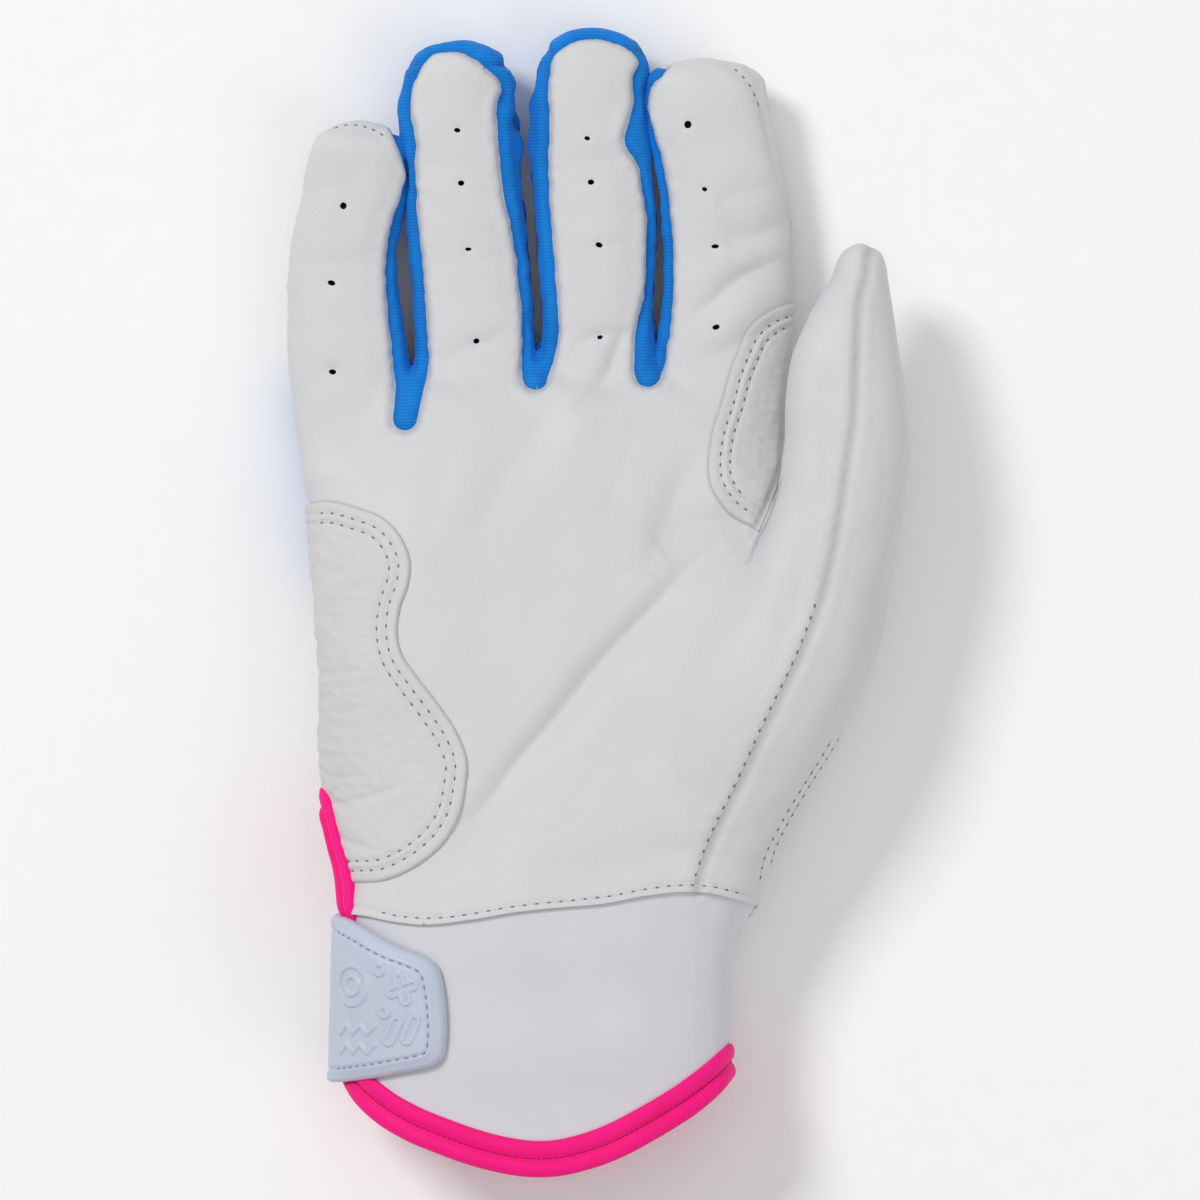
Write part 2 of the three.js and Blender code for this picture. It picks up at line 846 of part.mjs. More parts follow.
const { little, ring, middle, index } = digits;
const farLeft = [[-reach, knuckleY]];
const littleRing = parting(little, ring);
const ringMiddle = parting(ring, middle);
const middleIndex = parting(middle, index);
const indexThumb = [[thumbBackLine.at(-1)[0], knuckleY]];
addPiece("palm_leather", palmLeather(), "leather");
addPiece("thumb_outer", thumbOuter(), "leather");
addPiece("heel_patch", heelPatchSolid(), "patchLeather");
addPiece("crotch_patch", crotchPatchSolid(), "patchLeather");
addPiece("gusset_little_ring", gusset(little, ring), "stretch");
addPiece("gusset_ring_middle", gusset(ring, middle), "stretch");
addPiece("gusset_middle_index", gusset(middle, index), "stretch");
addPiece("back_little", fingerBack(little, farLeft, littleRing, false), "leather");
addPiece("back_ring", fingerBack(ring, littleRing, ringMiddle, true), "stretch");
addPiece("back_middle", fingerBack(middle, ringMiddle, middleIndex, true), "stretch");
addPiece("back_index", fingerBack(index, middleIndex, indexThumb, false), "leather");
addPiece("knuckle_panel", knucklePanel(), "stretch");
addPiece("back_leather", backLeather(), "leather");
addPiece("wrist_elastic", wristElastic(), "webbing");
addPiece("cuff_palm", cuffPalm(), "cuffFabric");
addPiece("cuff_back", cuffBack(), "cuffFabric");
addPiece("edge_binding", edgeBinding(), "binding");
addPiece("loop_pad", loopPad(), "webbing");
addPiece("hook_pad", hookPad(), "webbing");
addPiece("strap", strap(), "webbing");
addPiece("strap_tab", strapTab(), "rubber");

export default glove;
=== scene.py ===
# %% [markdown]
# A batting glove, palm up
#
# The glove is a soft skin sewn from pattern pieces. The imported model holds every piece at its
# real size, and this script dresses it: one smooth skin is shaped first, as if a hand filled
# it, and then it is cut along the seams, so that neighbouring pieces meet without a step.
# Stitches, bindings and the moulded tab are laid on that skin afterwards.

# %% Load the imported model
import math

import bpy
import numpy as np
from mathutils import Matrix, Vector
from mathutils.bvhtree import BVHTree
from mathutils.kdtree import KDTree


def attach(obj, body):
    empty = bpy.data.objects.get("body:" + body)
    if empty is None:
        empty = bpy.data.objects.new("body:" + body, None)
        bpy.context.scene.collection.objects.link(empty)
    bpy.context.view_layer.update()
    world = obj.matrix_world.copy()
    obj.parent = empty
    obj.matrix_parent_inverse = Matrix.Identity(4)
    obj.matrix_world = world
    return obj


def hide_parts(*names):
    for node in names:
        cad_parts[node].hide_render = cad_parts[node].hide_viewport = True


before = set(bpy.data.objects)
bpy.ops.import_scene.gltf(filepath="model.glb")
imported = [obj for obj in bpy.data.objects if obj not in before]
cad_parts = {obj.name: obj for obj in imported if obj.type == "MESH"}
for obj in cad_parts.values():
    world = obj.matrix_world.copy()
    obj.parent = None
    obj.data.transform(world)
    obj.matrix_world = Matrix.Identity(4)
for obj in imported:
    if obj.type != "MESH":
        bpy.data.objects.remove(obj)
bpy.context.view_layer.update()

MM = 0.001
FAR = 1e9

# %% [markdown]
# Camera
#
# The photograph looks straight at the palm from far away, so a long lens looks straight down.
# Its frame is square and 252 mm wide at the glove.

# %% Camera
PHOTO_WIDTH = 252 * MM
CAMERA_HEIGHT = 2600 * MM
PALM_HEIGHT = 22 * MM
SENSOR = 36
CLIP_END = 20


def deselect():
    if bpy.context.object and bpy.context.object.mode != "OBJECT":
        bpy.ops.object.mode_set(mode="OBJECT")
    bpy.ops.object.select_all(action="DESELECT")


def select_only(made):
    deselect()
    bpy.context.view_layer.objects.active = made
    made.select_set(True)


deselect()
bpy.ops.object.camera_add(location=(0, 0, CAMERA_HEIGHT), rotation=(0, 0, 0))
camera = bpy.context.object
camera.name = "camera"
camera.data.sensor_width = SENSOR
camera.data.lens = SENSOR * (CAMERA_HEIGHT - PALM_HEIGHT) / PHOTO_WIDTH
camera.data.clip_end = CLIP_END
bpy.context.scene.camera = camera
print("lens", round(camera.data.lens), "mm")

# %% [markdown]
# The hand's shape
#
# The glove looks filled by a smooth, slightly flat hand form. The same stations as in the
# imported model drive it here: at each height of the glove they give the two edges and the
# depth. More stations are read between them on a smooth curve, because facets would show in
# a white, soft material.

# %% Sizes of the hand, in millimetres
HAND_LENGTH = 168.5
HAND_TOP = 50.5
HAND_FOOT = HAND_TOP - HAND_LENGTH
HAND_X = -11
HAND_HALF = 50
HAND_DEPTH = 30
# How far the rounded foot of the form reaches past the cuff, where the hem cuts it off
HAND_PAST_FOOT = 22
KNUCKLE_Y = 27
FINGER_DEPTH_BASE = 21
FINGER_DEPTH_TIP = 15
TIP_LIFT = 5
HAND_SQUARENESS = 2.5
DIGIT_SQUARENESS = 2.35

# along, little-finger side, thumb side, underside, palm side
HAND_SHARES = [
    (0.0, 0.832, 0.766, 0.125, 1.33),
    (0.09, 0.832, 0.764, 0.125, 1.33),
    (0.18, 0.832, 0.766, 0.125, 1.33),
    (0.28, 0.835, 0.79, 0.125, 1.3),
    (0.35, 0.85, 0.89, 0.1, 1.22),
    (0.415, 0.9, 0.93, 0.02, 1.16),
    (0.48, 0.93, 0.96, -0.04, 1.12),
    (0.635, 0.95, 1.04, -0.05, 1.06),
    (0.75, 0.98, 1.06, -0.05, 0.97),
    (0.85, 1.01, 1.06, -0.05, 0.84),
    (0.905, 1.04, 1.04, -0.04, 0.74),
]

# Each finger: half width, length, its two ends, and stations along, left and right
DIGITS = {
    "little": (11.5, 74, -51, -52.5, [
        (0, 1.04, 1.1), (0.11, 1.14, 1.07), (0.21, 1.18, 1.04), (0.34, 1.23, 0.97),
        (0.45, 1.24, 0.88), (0.57, 1.22, 0.8), (0.68, 1.14, 0.85), (0.79, 0.96, 1.01),
        (0.86, 0.87, 1.05), (0.91, 0.75, 1.0)]),
    "ring": (12.5, 91, -26.5, -31.1, [
        (0, 1.1, 1.1), (0.09, 1.07, 1.14), (0.17, 0.99, 1.14), (0.26, 0.9, 1.16),
        (0.36, 0.9, 1.15), (0.46, 0.92, 1.11), (0.58, 0.95, 1.09), (0.69, 0.92, 1.05),
        (0.78, 0.98, 1.1), (0.85, 0.95, 1.0), (0.9, 0.86, 1.0)]),
    "middle": (12.5, 93.8, -0.4, 0, [
        (0, 1.1, 1.1), (0.09, 1.08, 1.07), (0.17, 1.04, 1.02), (0.25, 1.01, 0.97),
        (0.34, 0.97, 0.9), (0.45, 1.02, 0.94), (0.56, 1.08, 0.97), (0.67, 1.15, 0.88),
        (0.77, 1.23, 0.83), (0.85, 1.18, 0.78), (0.91, 1.02, 0.84)]),
    "index": (13.5, 87.6, 26, 23.9, [
        (0, 1.07, 1.03), (0.1, 1.06, 1.09), (0.18, 1.03, 1.13), (0.27, 0.99, 1.15),
        (0.36, 0.92, 1.16), (0.48, 0.86, 1.18), (0.6, 0.87, 1.17), (0.72, 0.93, 1.06),
        (0.81, 1.06, 0.96), (0.88, 1.13, 0.9), (0.93, 1.08, 0.86)]),
}

# The thumb: along, left, right, its seam across the width, depth, underside
THUMB_HALF = 15
THUMB_BASE_Y = -64
THUMB_LENGTH = 139
THUMB_BASE_X = 18.9
THUMB_TIP_X = 57.5
THUMB_DEPTH = 26
THUMB_LIFT = 4
THUMB_TIP_LIFT = 10
THUMB_SHARES = [
    (0.03, 0.9, 0.9, 0.52, 0.95, 0.3),
    (0.1, 1, 1.1, 0.55, 1.1, 0.2),
    (0.19, 1.12, 1.33, 0.6, 1.26, 0.12),
    (0.28, 1.16, 1.52, 0.63, 1.34, 0.1),
    (0.37, 1.16, 1.66, 0.64, 1.34, 0.14),
    (0.46, 0.75, 1.6, 0.614, 1.26, 0.3),
    (0.53, 0.53, 1.54, 0.59, 1.16, 0.6),
    (0.61, 0.42, 1.48, 0.535, 1.06, 0.9),
    (0.69, 0.455, 1.33, 0.534, 0.98, 1.1),
    (0.76, 0.62, 1.06, 0.583, 0.92, 1.2),
    (0.84, 0.71, 0.76, 0.61, 0.84, 1.3),
    (0.9, 0.59, 0.52, 0.58, 0.74, 1.36),
    (0.95, 0.42, 0.31, 0.56, 0.6, 1.42),
]


# %% Stations on smooth curves
def smooth_rows(rows, places):
    """Rows of numbers read at new places along their first column, on a Catmull-Rom curve."""
    rows = np.array(rows, float)
    s = rows[:, 0]
    slopes = np.gradient(rows, s, axis=0)
    k = np.clip(np.searchsorted(s, places, side="right") - 1, 0, len(s) - 2)
    h = (s[k + 1] - s[k])[:, None]
    t = np.clip((places - s[k]) / h[:, 0], 0, 1)[:, None]
    a, b = rows[k], rows[k + 1]
    ma, mb = slopes[k] * h, slopes[k + 1] * h
    found = (2 * t**3 - 3 * t**2 + 1) * a + (t**3 - 2 * t**2 + t) * ma
    return found + (3 * t**2 - 2 * t**3) * b + (t**3 - t**2) * mb


def hand_station(s):
    """Middle x, y, middle z, half width and half depth of the hand at shares s along it."""
    r = smooth_rows(HAND_SHARES, s)
    left, right = HAND_X - r[:, 1] * HAND_HALF, HAND_X + r[:, 2] * HAND_HALF
    low, high = r[:, 3] * HAND_DEPTH, r[:, 4] * HAND_DEPTH
    y = HAND_FOOT + s * HAND_LENGTH
    x, z = (left + right) / 2, (low + high) / 2
    return np.stack([x, y, z, (right - left) / 2, (high - low) / 2], 1)


def finger_station(digit):
    half, length, base_x, tip_x, shares = DIGITS[digit]

    def station(s):
        r = smooth_rows(shares, s)
        axis = base_x + (tip_x - base_x) * s
        left, right = axis - r[:, 1] * half, axis + r[:, 2] * half
        depth = FINGER_DEPTH_BASE + (FINGER_DEPTH_TIP - FINGER_DEPTH_BASE) * np.sqrt(np.clip(s, 0, 1))
        z = TIP_LIFT * s**2 + depth / 2
        return np.stack([(left + right) / 2, KNUCKLE_Y + s * length, z, (right - left) / 2, depth / 2], 1)

    return station


def thumb_edges(s):
    r = smooth_rows(THUMB_SHARES, s)
    axis = THUMB_BASE_X + (THUMB_TIP_X - THUMB_BASE_X) * s
    return axis - r[:, 1] * THUMB_HALF, axis + r[:, 2] * THUMB_HALF, r


def thumb_station(s):
    left, right, r = thumb_edges(s)
    depth = r[:, 4] * THUMB_DEPTH
    z = THUMB_LIFT + r[:, 5] * THUMB_TIP_LIFT + depth / 2
    y = THUMB_BASE_Y + s * THUMB_LENGTH
    return np.stack([(left + right) / 2, y, z, (right - left) / 2, depth / 2], 1)


# %% [markdown]
# From balls to fingers
#
# A UV sphere already has what a finger needs: rings, and a pole at either end. So each tube
# starts as a sphere primitive, and every ring is moved to its own station. The rings near the
# poles shrink along a quarter circle, which rounds the fingertip. Neighbouring fingers almost
# touch, so they are fanned out while the skin is made and are brought back afterwards.

# %% Stretch a sphere primitive into a tube
RING_POINTS = 64
FINGER_RINGS = 56
LONG_RINGS = 70
# Share of the rings that goes to each rounded end, more than its length alone would give
END_SHARE = 0.16
# How far each finger is moved aside, and the heights between which it swings out
FAN = {"little": -15, "ring": -9, "middle": -4.5, "index": 0}
FAN_FROM, FAN_TO = 47, 72


def smooth_step(low, high, value):
    t = np.clip((value - low) / (high - low), 0, 1)
    return t * t * (3 - 2 * t)


def tube(name, station, first, last, foot, tip, squareness, rings, fan=0):
    """A sphere primitive whose rings follow the stations, between two rounded ends."""
    deselect()
    bpy.ops.mesh.primitive_uv_sphere_add(segments=RING_POINTS, ring_count=rings, radius=1)
    made = bpy.context.object
    made.name = name
    co = np.zeros(len(made.data.vertices) * 3)
    made.data.vertices.foreach_get("co", co)
    co = co.reshape(-1, 3)
    ring = np.rint((0.5 - np.arcsin(np.clip(co[:, 2], -1, 1)) / math.pi) * rings) / rings
    y0, y1 = station(np.array([first, last]))[:, 1]
    u = 1 - ring
    scale = np.ones(len(u))
    y = np.interp(u, [END_SHARE, 1 - END_SHARE], [y0, y1])
    for past, edge, pole in ((END_SHARE - u, y0, foot), (u - 1 + END_SHARE, y1, tip)):
        mask, angle = past > 0, past / END_SHARE * math.pi / 2
        y[mask] = edge + (pole - edge) * np.sin(angle[mask])
        scale[mask] = np.cos(angle[mask])
    s = first + (last - first) * np.clip((y - y0) / (y1 - y0), 0, 1)
    st = station(s)
    r = np.hypot(co[:, 0], co[:, 1])
    at_pole = r < 1e-6
    scale[at_pole] = 0
    flat = np.divide(co[:, :2], r[:, None], out=np.zeros((len(r), 2)), where=~at_pole[:, None])
    across, up = (np.sign(flat) * np.abs(flat) ** (2 / squareness)).T
    middle = st[:, 0] + fan * smooth_step(FAN_FROM, FAN_TO, y)
    x, z = middle + st[:, 3] * scale * across, st[:, 2] + st[:, 4] * scale * up
    made.data.vertices.foreach_set("co", (np.stack([x, y, z], 1) * MM).ravel())
    bpy.ops.object.mode_set(mode="EDIT")
    bpy.ops.mesh.select_all(action="SELECT")
    bpy.ops.mesh.normals_make_consistent(inside=False)
    bpy.ops.object.mode_set(mode="OBJECT")
    print(name, "from", round(foot), "to", round(tip), "mm,", len(made.data.polygons), "faces")
    return made


tubes = [
    tube("hand_form", hand_station, 0, HAND_SHARES[-1][0],
         HAND_FOOT - HAND_PAST_FOOT, HAND_TOP, HAND_SQUARENESS, LONG_RINGS)
]
for digit, (half, length, _, _, shares) in DIGITS.items():
    tubes.append(
        tube(digit + "_form", finger_station(digit), 0, shares[-1][0],
             KNUCKLE_Y - half, KNUCKLE_Y + length, DIGIT_SQUARENESS, FINGER_RINGS, FAN[digit])
    )
tubes.append(
    tube("thumb_form", thumb_station, THUMB_SHARES[0][0], THUMB_SHARES[-1][0],
         THUMB_BASE_Y - THUMB_HALF / 2, THUMB_BASE_Y + THUMB_LENGTH, DIGIT_SQUARENESS, LONG_RINGS)
)

# %% Fuse the tubes into one body
VOXEL = 0.7 * MM

deselect()
for part in tubes:
    part.select_set(True)
bpy.context.view_layer.objects.active = tubes[0]
bpy.ops.object.join()
hand = bpy.context.object
hand.name = "hand_form"
remesh = hand.modifiers.new("fuse", "REMESH")
remesh.mode = "VOXEL"
remesh.voxel_size = VOXEL
bpy.ops.object.modifier_apply(modifier=remesh.name)
bpy.ops.object.mode_set(mode="EDIT")
bpy.ops.mesh.select_all(action="SELECT")
bpy.ops.mesh.quads_convert_to_tris(quad_method="SHORTEST_DIAGONAL", ngon_method="BEAUTY")
bpy.ops.object.mode_set(mode="OBJECT")
print("fused hand", len(hand.data.vertices), "points,", len(hand.data.polygons), "faces")

# %% [markdown]
# A smooth skin
#
# The voxels leave small steps, so the skin is relaxed until they are gone. The glove lies on
# a table, so whatever would hang below it is pressed flat against it. From here on the skin
# is worked on as arrays of millimetres, because each seam is a line that crosses thousands of
# faces at any angle, which no operator follows.

# %% Relax the skin
RELAX_STEPS = 14
# The thumb's mound flows into the palm: reach from its edge in millimetres, and steps
MOUND_BLENDS = [(17, 70), (13, 90), (9, 60)]
MOUND_FADE_LOW, MOUND_FADE_HIGH = -6, 14
MOUND_FLOOR = 14


def points_of(mesh):
    co = np.zeros(len(mesh.vertices) * 3)
    mesh.vertices.foreach_get("co", co)
    return co.reshape(-1, 3) / MM


def triangles_of(mesh):
    mesh.calc_loop_triangles()
    tri = np.zeros(len(mesh.loop_triangles) * 3, dtype=np.int64)
    mesh.loop_triangles.foreach_get("vertices", tri)
    return tri.reshape(-1, 3)


def normals_of(co, tri):
    a, b, c = co[tri[:, 0]], co[tri[:, 1]], co[tri[:, 2]]
    face = np.cross(b - a, c - a)
    total = np.zeros_like(co)
    for k in range(3):
        for axis in range(3):
            total[:, axis] += np.bincount(tri[:, k], face[:, axis], len(co))
    return total / np.maximum(np.linalg.norm(total, axis=1), 1e-9)[:, None]


def relax(made, chosen, steps):
    """Smooth the chosen points in edit mode."""
    select_only(made)
    made.data.vertices.foreach_set("select", chosen)
    made.data.edges.foreach_set("select", np.zeros(len(made.data.edges), bool))
    made.data.polygons.foreach_set("select", np.zeros(len(made.data.polygons), bool))
    bpy.ops.object.mode_set(mode="EDIT")
    bpy.ops.mesh.vertices_smooth(factor=0.5, repeat=steps)
    bpy.ops.object.mode_set(mode="OBJECT")


relax(hand, np.ones(len(hand.data.vertices), bool), RELAX_STEPS)
for reach, steps in MOUND_BLENDS:
    x, y, z = points_of(hand.data).T
    s = np.clip((y - THUMB_BASE_Y) / THUMB_LENGTH, THUMB_SHARES[0][0], THUMB_SHARES[-1][0])
    fade = smooth_step(MOUND_FADE_HIGH, MOUND_FADE_LOW, y)
    chosen = (np.abs(x - thumb_edges(s)[0]) < reach * fade) & (z > MOUND_FLOOR)
    relax(hand, chosen, steps)
    print("blended", chosen.sum(), "points of the thumb's mound")

# %% Bring the fingers back and press the skin on the table
def finger_edges(digit, y):
    half, length, base_x, tip_x, shares = DIGITS[digit]
    s = np.clip((y - KNUCKLE_Y) / length, 0, shares[-1][0])
    r = smooth_rows(shares, s)
    axis = base_x + (tip_x - base_x) * s
    return axis - r[:, 1] * half, axis + r[:, 2] * half


# Past a fingertip, less this reach, the parting keeps this clear of the longer finger
TIP_REACH, TIP_CLEAR = 6, 1.3


def parting(left, right, y):
    """The middle of the air between two fingers, kept clear of the longer one past a tip."""
    low, high = finger_edges(left, y)[1], finger_edges(right, y)[0]
    middle = (low + high) / 2
    left_tip, right_tip = (KNUCKLE_Y + DIGITS[name][1] - TIP_REACH for name in (left, right))
    middle = np.where(y > left_tip, np.minimum(middle, high - TIP_CLEAR), middle)
    return np.where(y > right_tip, np.maximum(middle, low + TIP_CLEAR), middle)


skin = points_of(hand.data)
skin_faces = triangles_of(hand.data)
x, y = skin[:, 0].copy(), skin[:, 1]
fanned = smooth_step(FAN_FROM, FAN_TO, y)
digits = list(FAN)
shift = np.full(len(skin), FAN["little"], float)
for left, right in zip(digits, digits[1:]):
    line = parting(left, right, y) + (FAN[left] + FAN[right]) / 2 * fanned
    shift[x > line] = FAN[right]
skin[:, 0] -= shift * fanned
skin[:, 2] = np.maximum(skin[:, 2], 0)
skin_normals = normals_of(skin, skin_faces)
bpy.data.objects.remove(hand)
print("skin from", skin.min(0).round(1), "to", skin.max(0).round(1), "mm")

# %% [markdown]
# Pattern pieces
#
# A glove maker cuts a palm with four finger fronts, narrow stretch gussets for the sides of
# the fingers, separate backs, an outer thumb and a cuff. Each seam is written here as a
# signed distance: a number in millimetres that is positive on one side of the seam and
# negative on the other. A piece is then the part of the skin where a few numbers agree.

# %% Lines across and along the glove
# The seam round the sides: share along the hand, and height as a share of its depth
SIDE_SEAM = [
    (-0.3, 0.7), (0, 0.7), (0.35, 0.66), (0.48, 0.55), (0.72, 0.36), (0.91, 0.3), (1.25, 0.34),
    (1.5, 0.42),
]
WRIST_Y, WRIST_DIP = -66, 3
KNUCKLE_SEAM_Y, KNUCKLE_SEAM_RISE = 51, 4
BACK_SEAM_Y, BACK_SEAM_BOW = 4, 7
ELASTIC_WIDTH = 11
CUFF_LEFT = HAND_X - HAND_SHARES[0][1] * HAND_HALF
CUFF_RIGHT = HAND_X + HAND_SHARES[0][2] * HAND_HALF
# The slit in the cuff: its top, half its width and how far it reaches round the side
SLIT_TOP, SLIT_HALF, SLIT_REACH = -46, 1.6, 18
# How far a tape's nose stands past the edge that it binds
TAPE_NOSE = 1.2
THUMB_BACK_SEAM = [(-40, 31), (-8, 34), (24, 38), (54, 43.4)]
TIP_FOLD = 5


def read(rows, at):
    rows = np.array(rows, float)
    return np.interp(at, rows[:, 0], rows[:, 1])


def side_seam(y):
    return read(SIDE_SEAM, (y - HAND_FOOT) / HAND_LENGTH) * HAND_DEPTH


def bow(x):
    """Nought at the sides of the hand and one in its middle."""
    return np.sin(math.pi * np.clip((x - HAND_X + HAND_HALF) / (2 * HAND_HALF), 0, 1))


def wrist_line(x):
    return WRIST_Y + WRIST_DIP * bow(x)


def knuckle_line(x):
    return KNUCKLE_SEAM_Y - KNUCKLE_SEAM_RISE + KNUCKLE_SEAM_RISE * bow(x)


def back_line(x):
    return BACK_SEAM_Y + BACK_SEAM_BOW * bow(x)


# The stitched line of the leather's lower edge on the palm side, which is not even
WRIST_STITCHES = [
    (-60, -65), (-49.4, -64.8), (-43.5, -66), (-37.4, -66.7), (-27.5, -65.8), (-18.1, -64.2),
    (-8.2, -63.1), (0.4, -62.3), (9.7, -60.6), (17.6, -59.8), (23.1, -60.1), (27.5, -61.2),
    (34.4, -62.9), (45, -64),
]


def palm_wrist_line(x):
    return smooth_rows(WRIST_STITCHES, x)[:, 1]


# The lower edge of the cuff is a full arch, lowest left of the middle
HEM = [
    (-58, -100), (-52.6, -102.6), (-50.8, -105.2), (-47, -108.8), (-40.7, -112.7), (-34, -115.5),
    (-27.2, -117.9), (-21, -119.5), (-15, -120.4), (-9, -120.3), (-3.5, -119.2), (3.5, -116.8),
    (10, -113.5), (15, -110.6), (20.1, -107.3), (24.5, -103.6), (27.3, -100.6), (32, -97),
]


def hem_line(x):
    return smooth_rows(HEM, np.clip(x, HEM[0][0], HEM[-1][0]))[..., 1]


THUMB_SEAM = [
    (-75, 15), (-61.4, 19.5), (-55.3, 21.4), (-48, 24.2), (-43.4, 26.5), (-38.7, 28.8),
    (-33.7, 31.1), (-28.5, 33.4), (-23.2, 35.9), (-18.2, 38.4), (-12.3, 41.2), (-6.2, 43.7),
    (0.3, 46), (9.8, 48.3), (19.2, 50), (27.8, 51.2), (40.2, 52.9), (52, 53.4), (62.3, 54),
    (69.8, 55.7), (74, 56), (78, 56.6),
]


def thumb_seam(y):
    return smooth_rows(THUMB_SEAM, y)[:, 1]


# %% The white fronts of the fingers
def lengths_along(path):
    return np.concatenate([[0], np.cumsum(np.linalg.norm(np.diff(path, axis=0), axis=1))])


def curve_through(points, steps):
    """Many points on a smooth curve through a few."""
    points = np.array(points, float)
    s = lengths_along(points)
    rows = np.concatenate([s[:, None], points], 1)
    return smooth_rows(rows, np.linspace(s[0], s[-1], steps + 1))[:, 1:]


# How far each front stops short of the finger's edge: along the finger, left and right
FRONT_INSETS = {
    "little": [(0.3, 0, 3.2), (0.55, 0, 2.1), (0.72, 0, 1.4), (0.84, 0, 0.5), (1, 0, 0.9)],
    "ring": [
        (0.3, 2.5, 2.2), (0.5, 2.6, 2.0), (0.62, 2.2, 3.6), (0.78, 2.2, 4.4), (0.9, 1.7, 3.2),
        (1, 2, 3.4),
    ],
    "middle": [(0.3, 3.1, 3.4), (0.4, 3.1, 1.4), (0.6, 2.8, 1.8), (0.8, 3.8, 2.6), (1, 2.4, 3.4)],
    "index": [(0.3, 2.1, 0), (0.5, 1.6, 0), (0.8, 1.1, 0), (1, 0.7, 0)],
}
# The gaps between the fingers: the foot of each, half its width, and where its edges start
CROTCHES = [(-41, 35.6), (-13.7, 44.6), (10.2, 45.2)]
CROTCH_HALF = 2.6
GAP_LOWS = (46, 54, 55)
# Far enough to lie outside the glove on every side
OUTSIDE = 160
EDGE_STEPS, OUTLINE_STEPS = 24, 90


def crotch_bend(place):
    """The blunt foot of the stretch strip between two fingers."""
    x, y = place
    angle = np.linspace(math.pi, 0, 9)
    return np.stack([x + CROTCH_HALF * np.cos(angle), y + CROTCH_HALF * (1 - np.sin(angle))], 1)


def front_side(digit, side, low, high):
    """One long edge of a finger's front, from low to high along Y."""
    y = np.linspace(low, high, EDGE_STEPS)
    share = (y - KNUCKLE_Y) / DIGITS[digit][1]
    inset = np.interp(share, *np.array(FRONT_INSETS[digit]).T[[0, 1 + side]])
    edge = finger_edges(digit, y)[side]
    return np.stack([edge + (inset if side == 0 else -inset), y], 1)


# The tip of a front, from its left side over the top to the corner at its right
FRONT_TIPS = {
    "ring": [
        (-39, 96), (-40.2, 103.8), (-39.8, 107.9), (-38.7, 110.7), (-37.3, 113.2), (-35.6, 115),
        (-32.6, 115.9), (-29.3, 115.5), (-26.1, 113.9), (-22.9, 111.4), (-20.5, 109.1),
        (-20, 107.4), (-21, 104.8), (-21.2, 100.6), (-21, 96),
    ],
    "middle": [
        (-11.1, 97), (-11.2, 103.8), (-11.4, 107.9), (-11, 112), (-9.8, 115.2), (-7.3, 117),
        (-4.1, 118.3), (-0.8, 118.6), (3.3, 117.7), (6.3, 116.2), (8.2, 114.4), (8.6, 113.2),
        (7.5, 110.7), (7.2, 107.9), (7.4, 104.6), (6.4, 100.6), (5.4, 96.5),
    ],
}
SIDES_END = 91
# Points of each side that the curve round the tip takes up
SHARED = 4


def finger_front(digit, low_left, low_right):
    left = front_side(digit, 0, low_left, SIDES_END)
    right = front_side(digit, 1, low_right, SIDES_END)
    sides = [left[-SHARED:], FRONT_TIPS[digit], right[: -SHARED - 1 : -1]]
    tip = curve_through(np.concatenate(sides), OUTLINE_STEPS)
    return np.concatenate([left[:-SHARED], tip, right[:-SHARED][::-1]])


LITTLE_TOP_SHARE, INDEX_TOP_SHARE = 0.93, 0.97
little_top = KNUCKLE_Y + LITTLE_TOP_SHARE * DIGITS["little"][1]
index_top = KNUCKLE_Y + INDEX_TOP_SHARE * DIGITS["index"][1]
little_edge = front_side("little", 1, GAP_LOWS[0], little_top - 4)
index_edge = front_side("index", 0, GAP_LOWS[2], index_top - 4)
thumb_y = np.linspace(72, WRIST_Y - 6, 60)
# the leather has no edge outside the little and the index finger, where it runs on round them
palm_outline = np.concatenate([
    [(-OUTSIDE, WRIST_Y - OUTSIDE), (-OUTSIDE, OUTSIDE), (-44.6, OUTSIDE), (-44.6, little_top + 6)],
    little_edge[::-1],
    crotch_bend(CROTCHES[0]),
    finger_front("ring", *GAP_LOWS[:2]),
    crotch_bend(CROTCHES[1]),
    finger_front("middle", *GAP_LOWS[1:]),
    crotch_bend(CROTCHES[2]),
    index_edge,
    [(13.6, index_top), (14.2, OUTSIDE), (THUMB_TIP_X, OUTSIDE), (THUMB_TIP_X, 76)],
    np.stack([thumb_seam(thumb_y), thumb_y], 1),
    [(20, WRIST_Y - OUTSIDE)],
])


# %% Distances to a closed outline
def inside_distance(outline, points):
    """Distance to a closed outline in XY, positive inside it."""
    best = np.full(len(points), FAR)
    inside = np.zeros(len(points), bool)
    x, y = points[:, 0], points[:, 1]
    for a, b in zip(outline, np.roll(outline, -1, 0)):
        d = b - a
        if not d.any():
            continue
        t = np.clip(((x - a[0]) * d[0] + (y - a[1]) * d[1]) / (d @ d), 0, 1)
        best = np.minimum(best, (x - a[0] - t * d[0]) ** 2 + (y - a[1] - t * d[1]) ** 2)
        crossing = (a[1] > y) != (b[1] > y)
        if a[1] != b[1]:
            inside ^= crossing & (x < a[0] + (y - a[1]) * d[0] / d[1])
    return np.where(inside, 1, -1) * np.sqrt(best)


# %% Measure every skin point against every seam
# The palm's outline is also the thumb's seam, to the right of the first and below the second
THUMB_SIDE_X, THUMB_SIDE_Y = 28, 10
# Above the little finger's tip everything belongs to its neighbour
LITTLE_ENDS = 102, 106

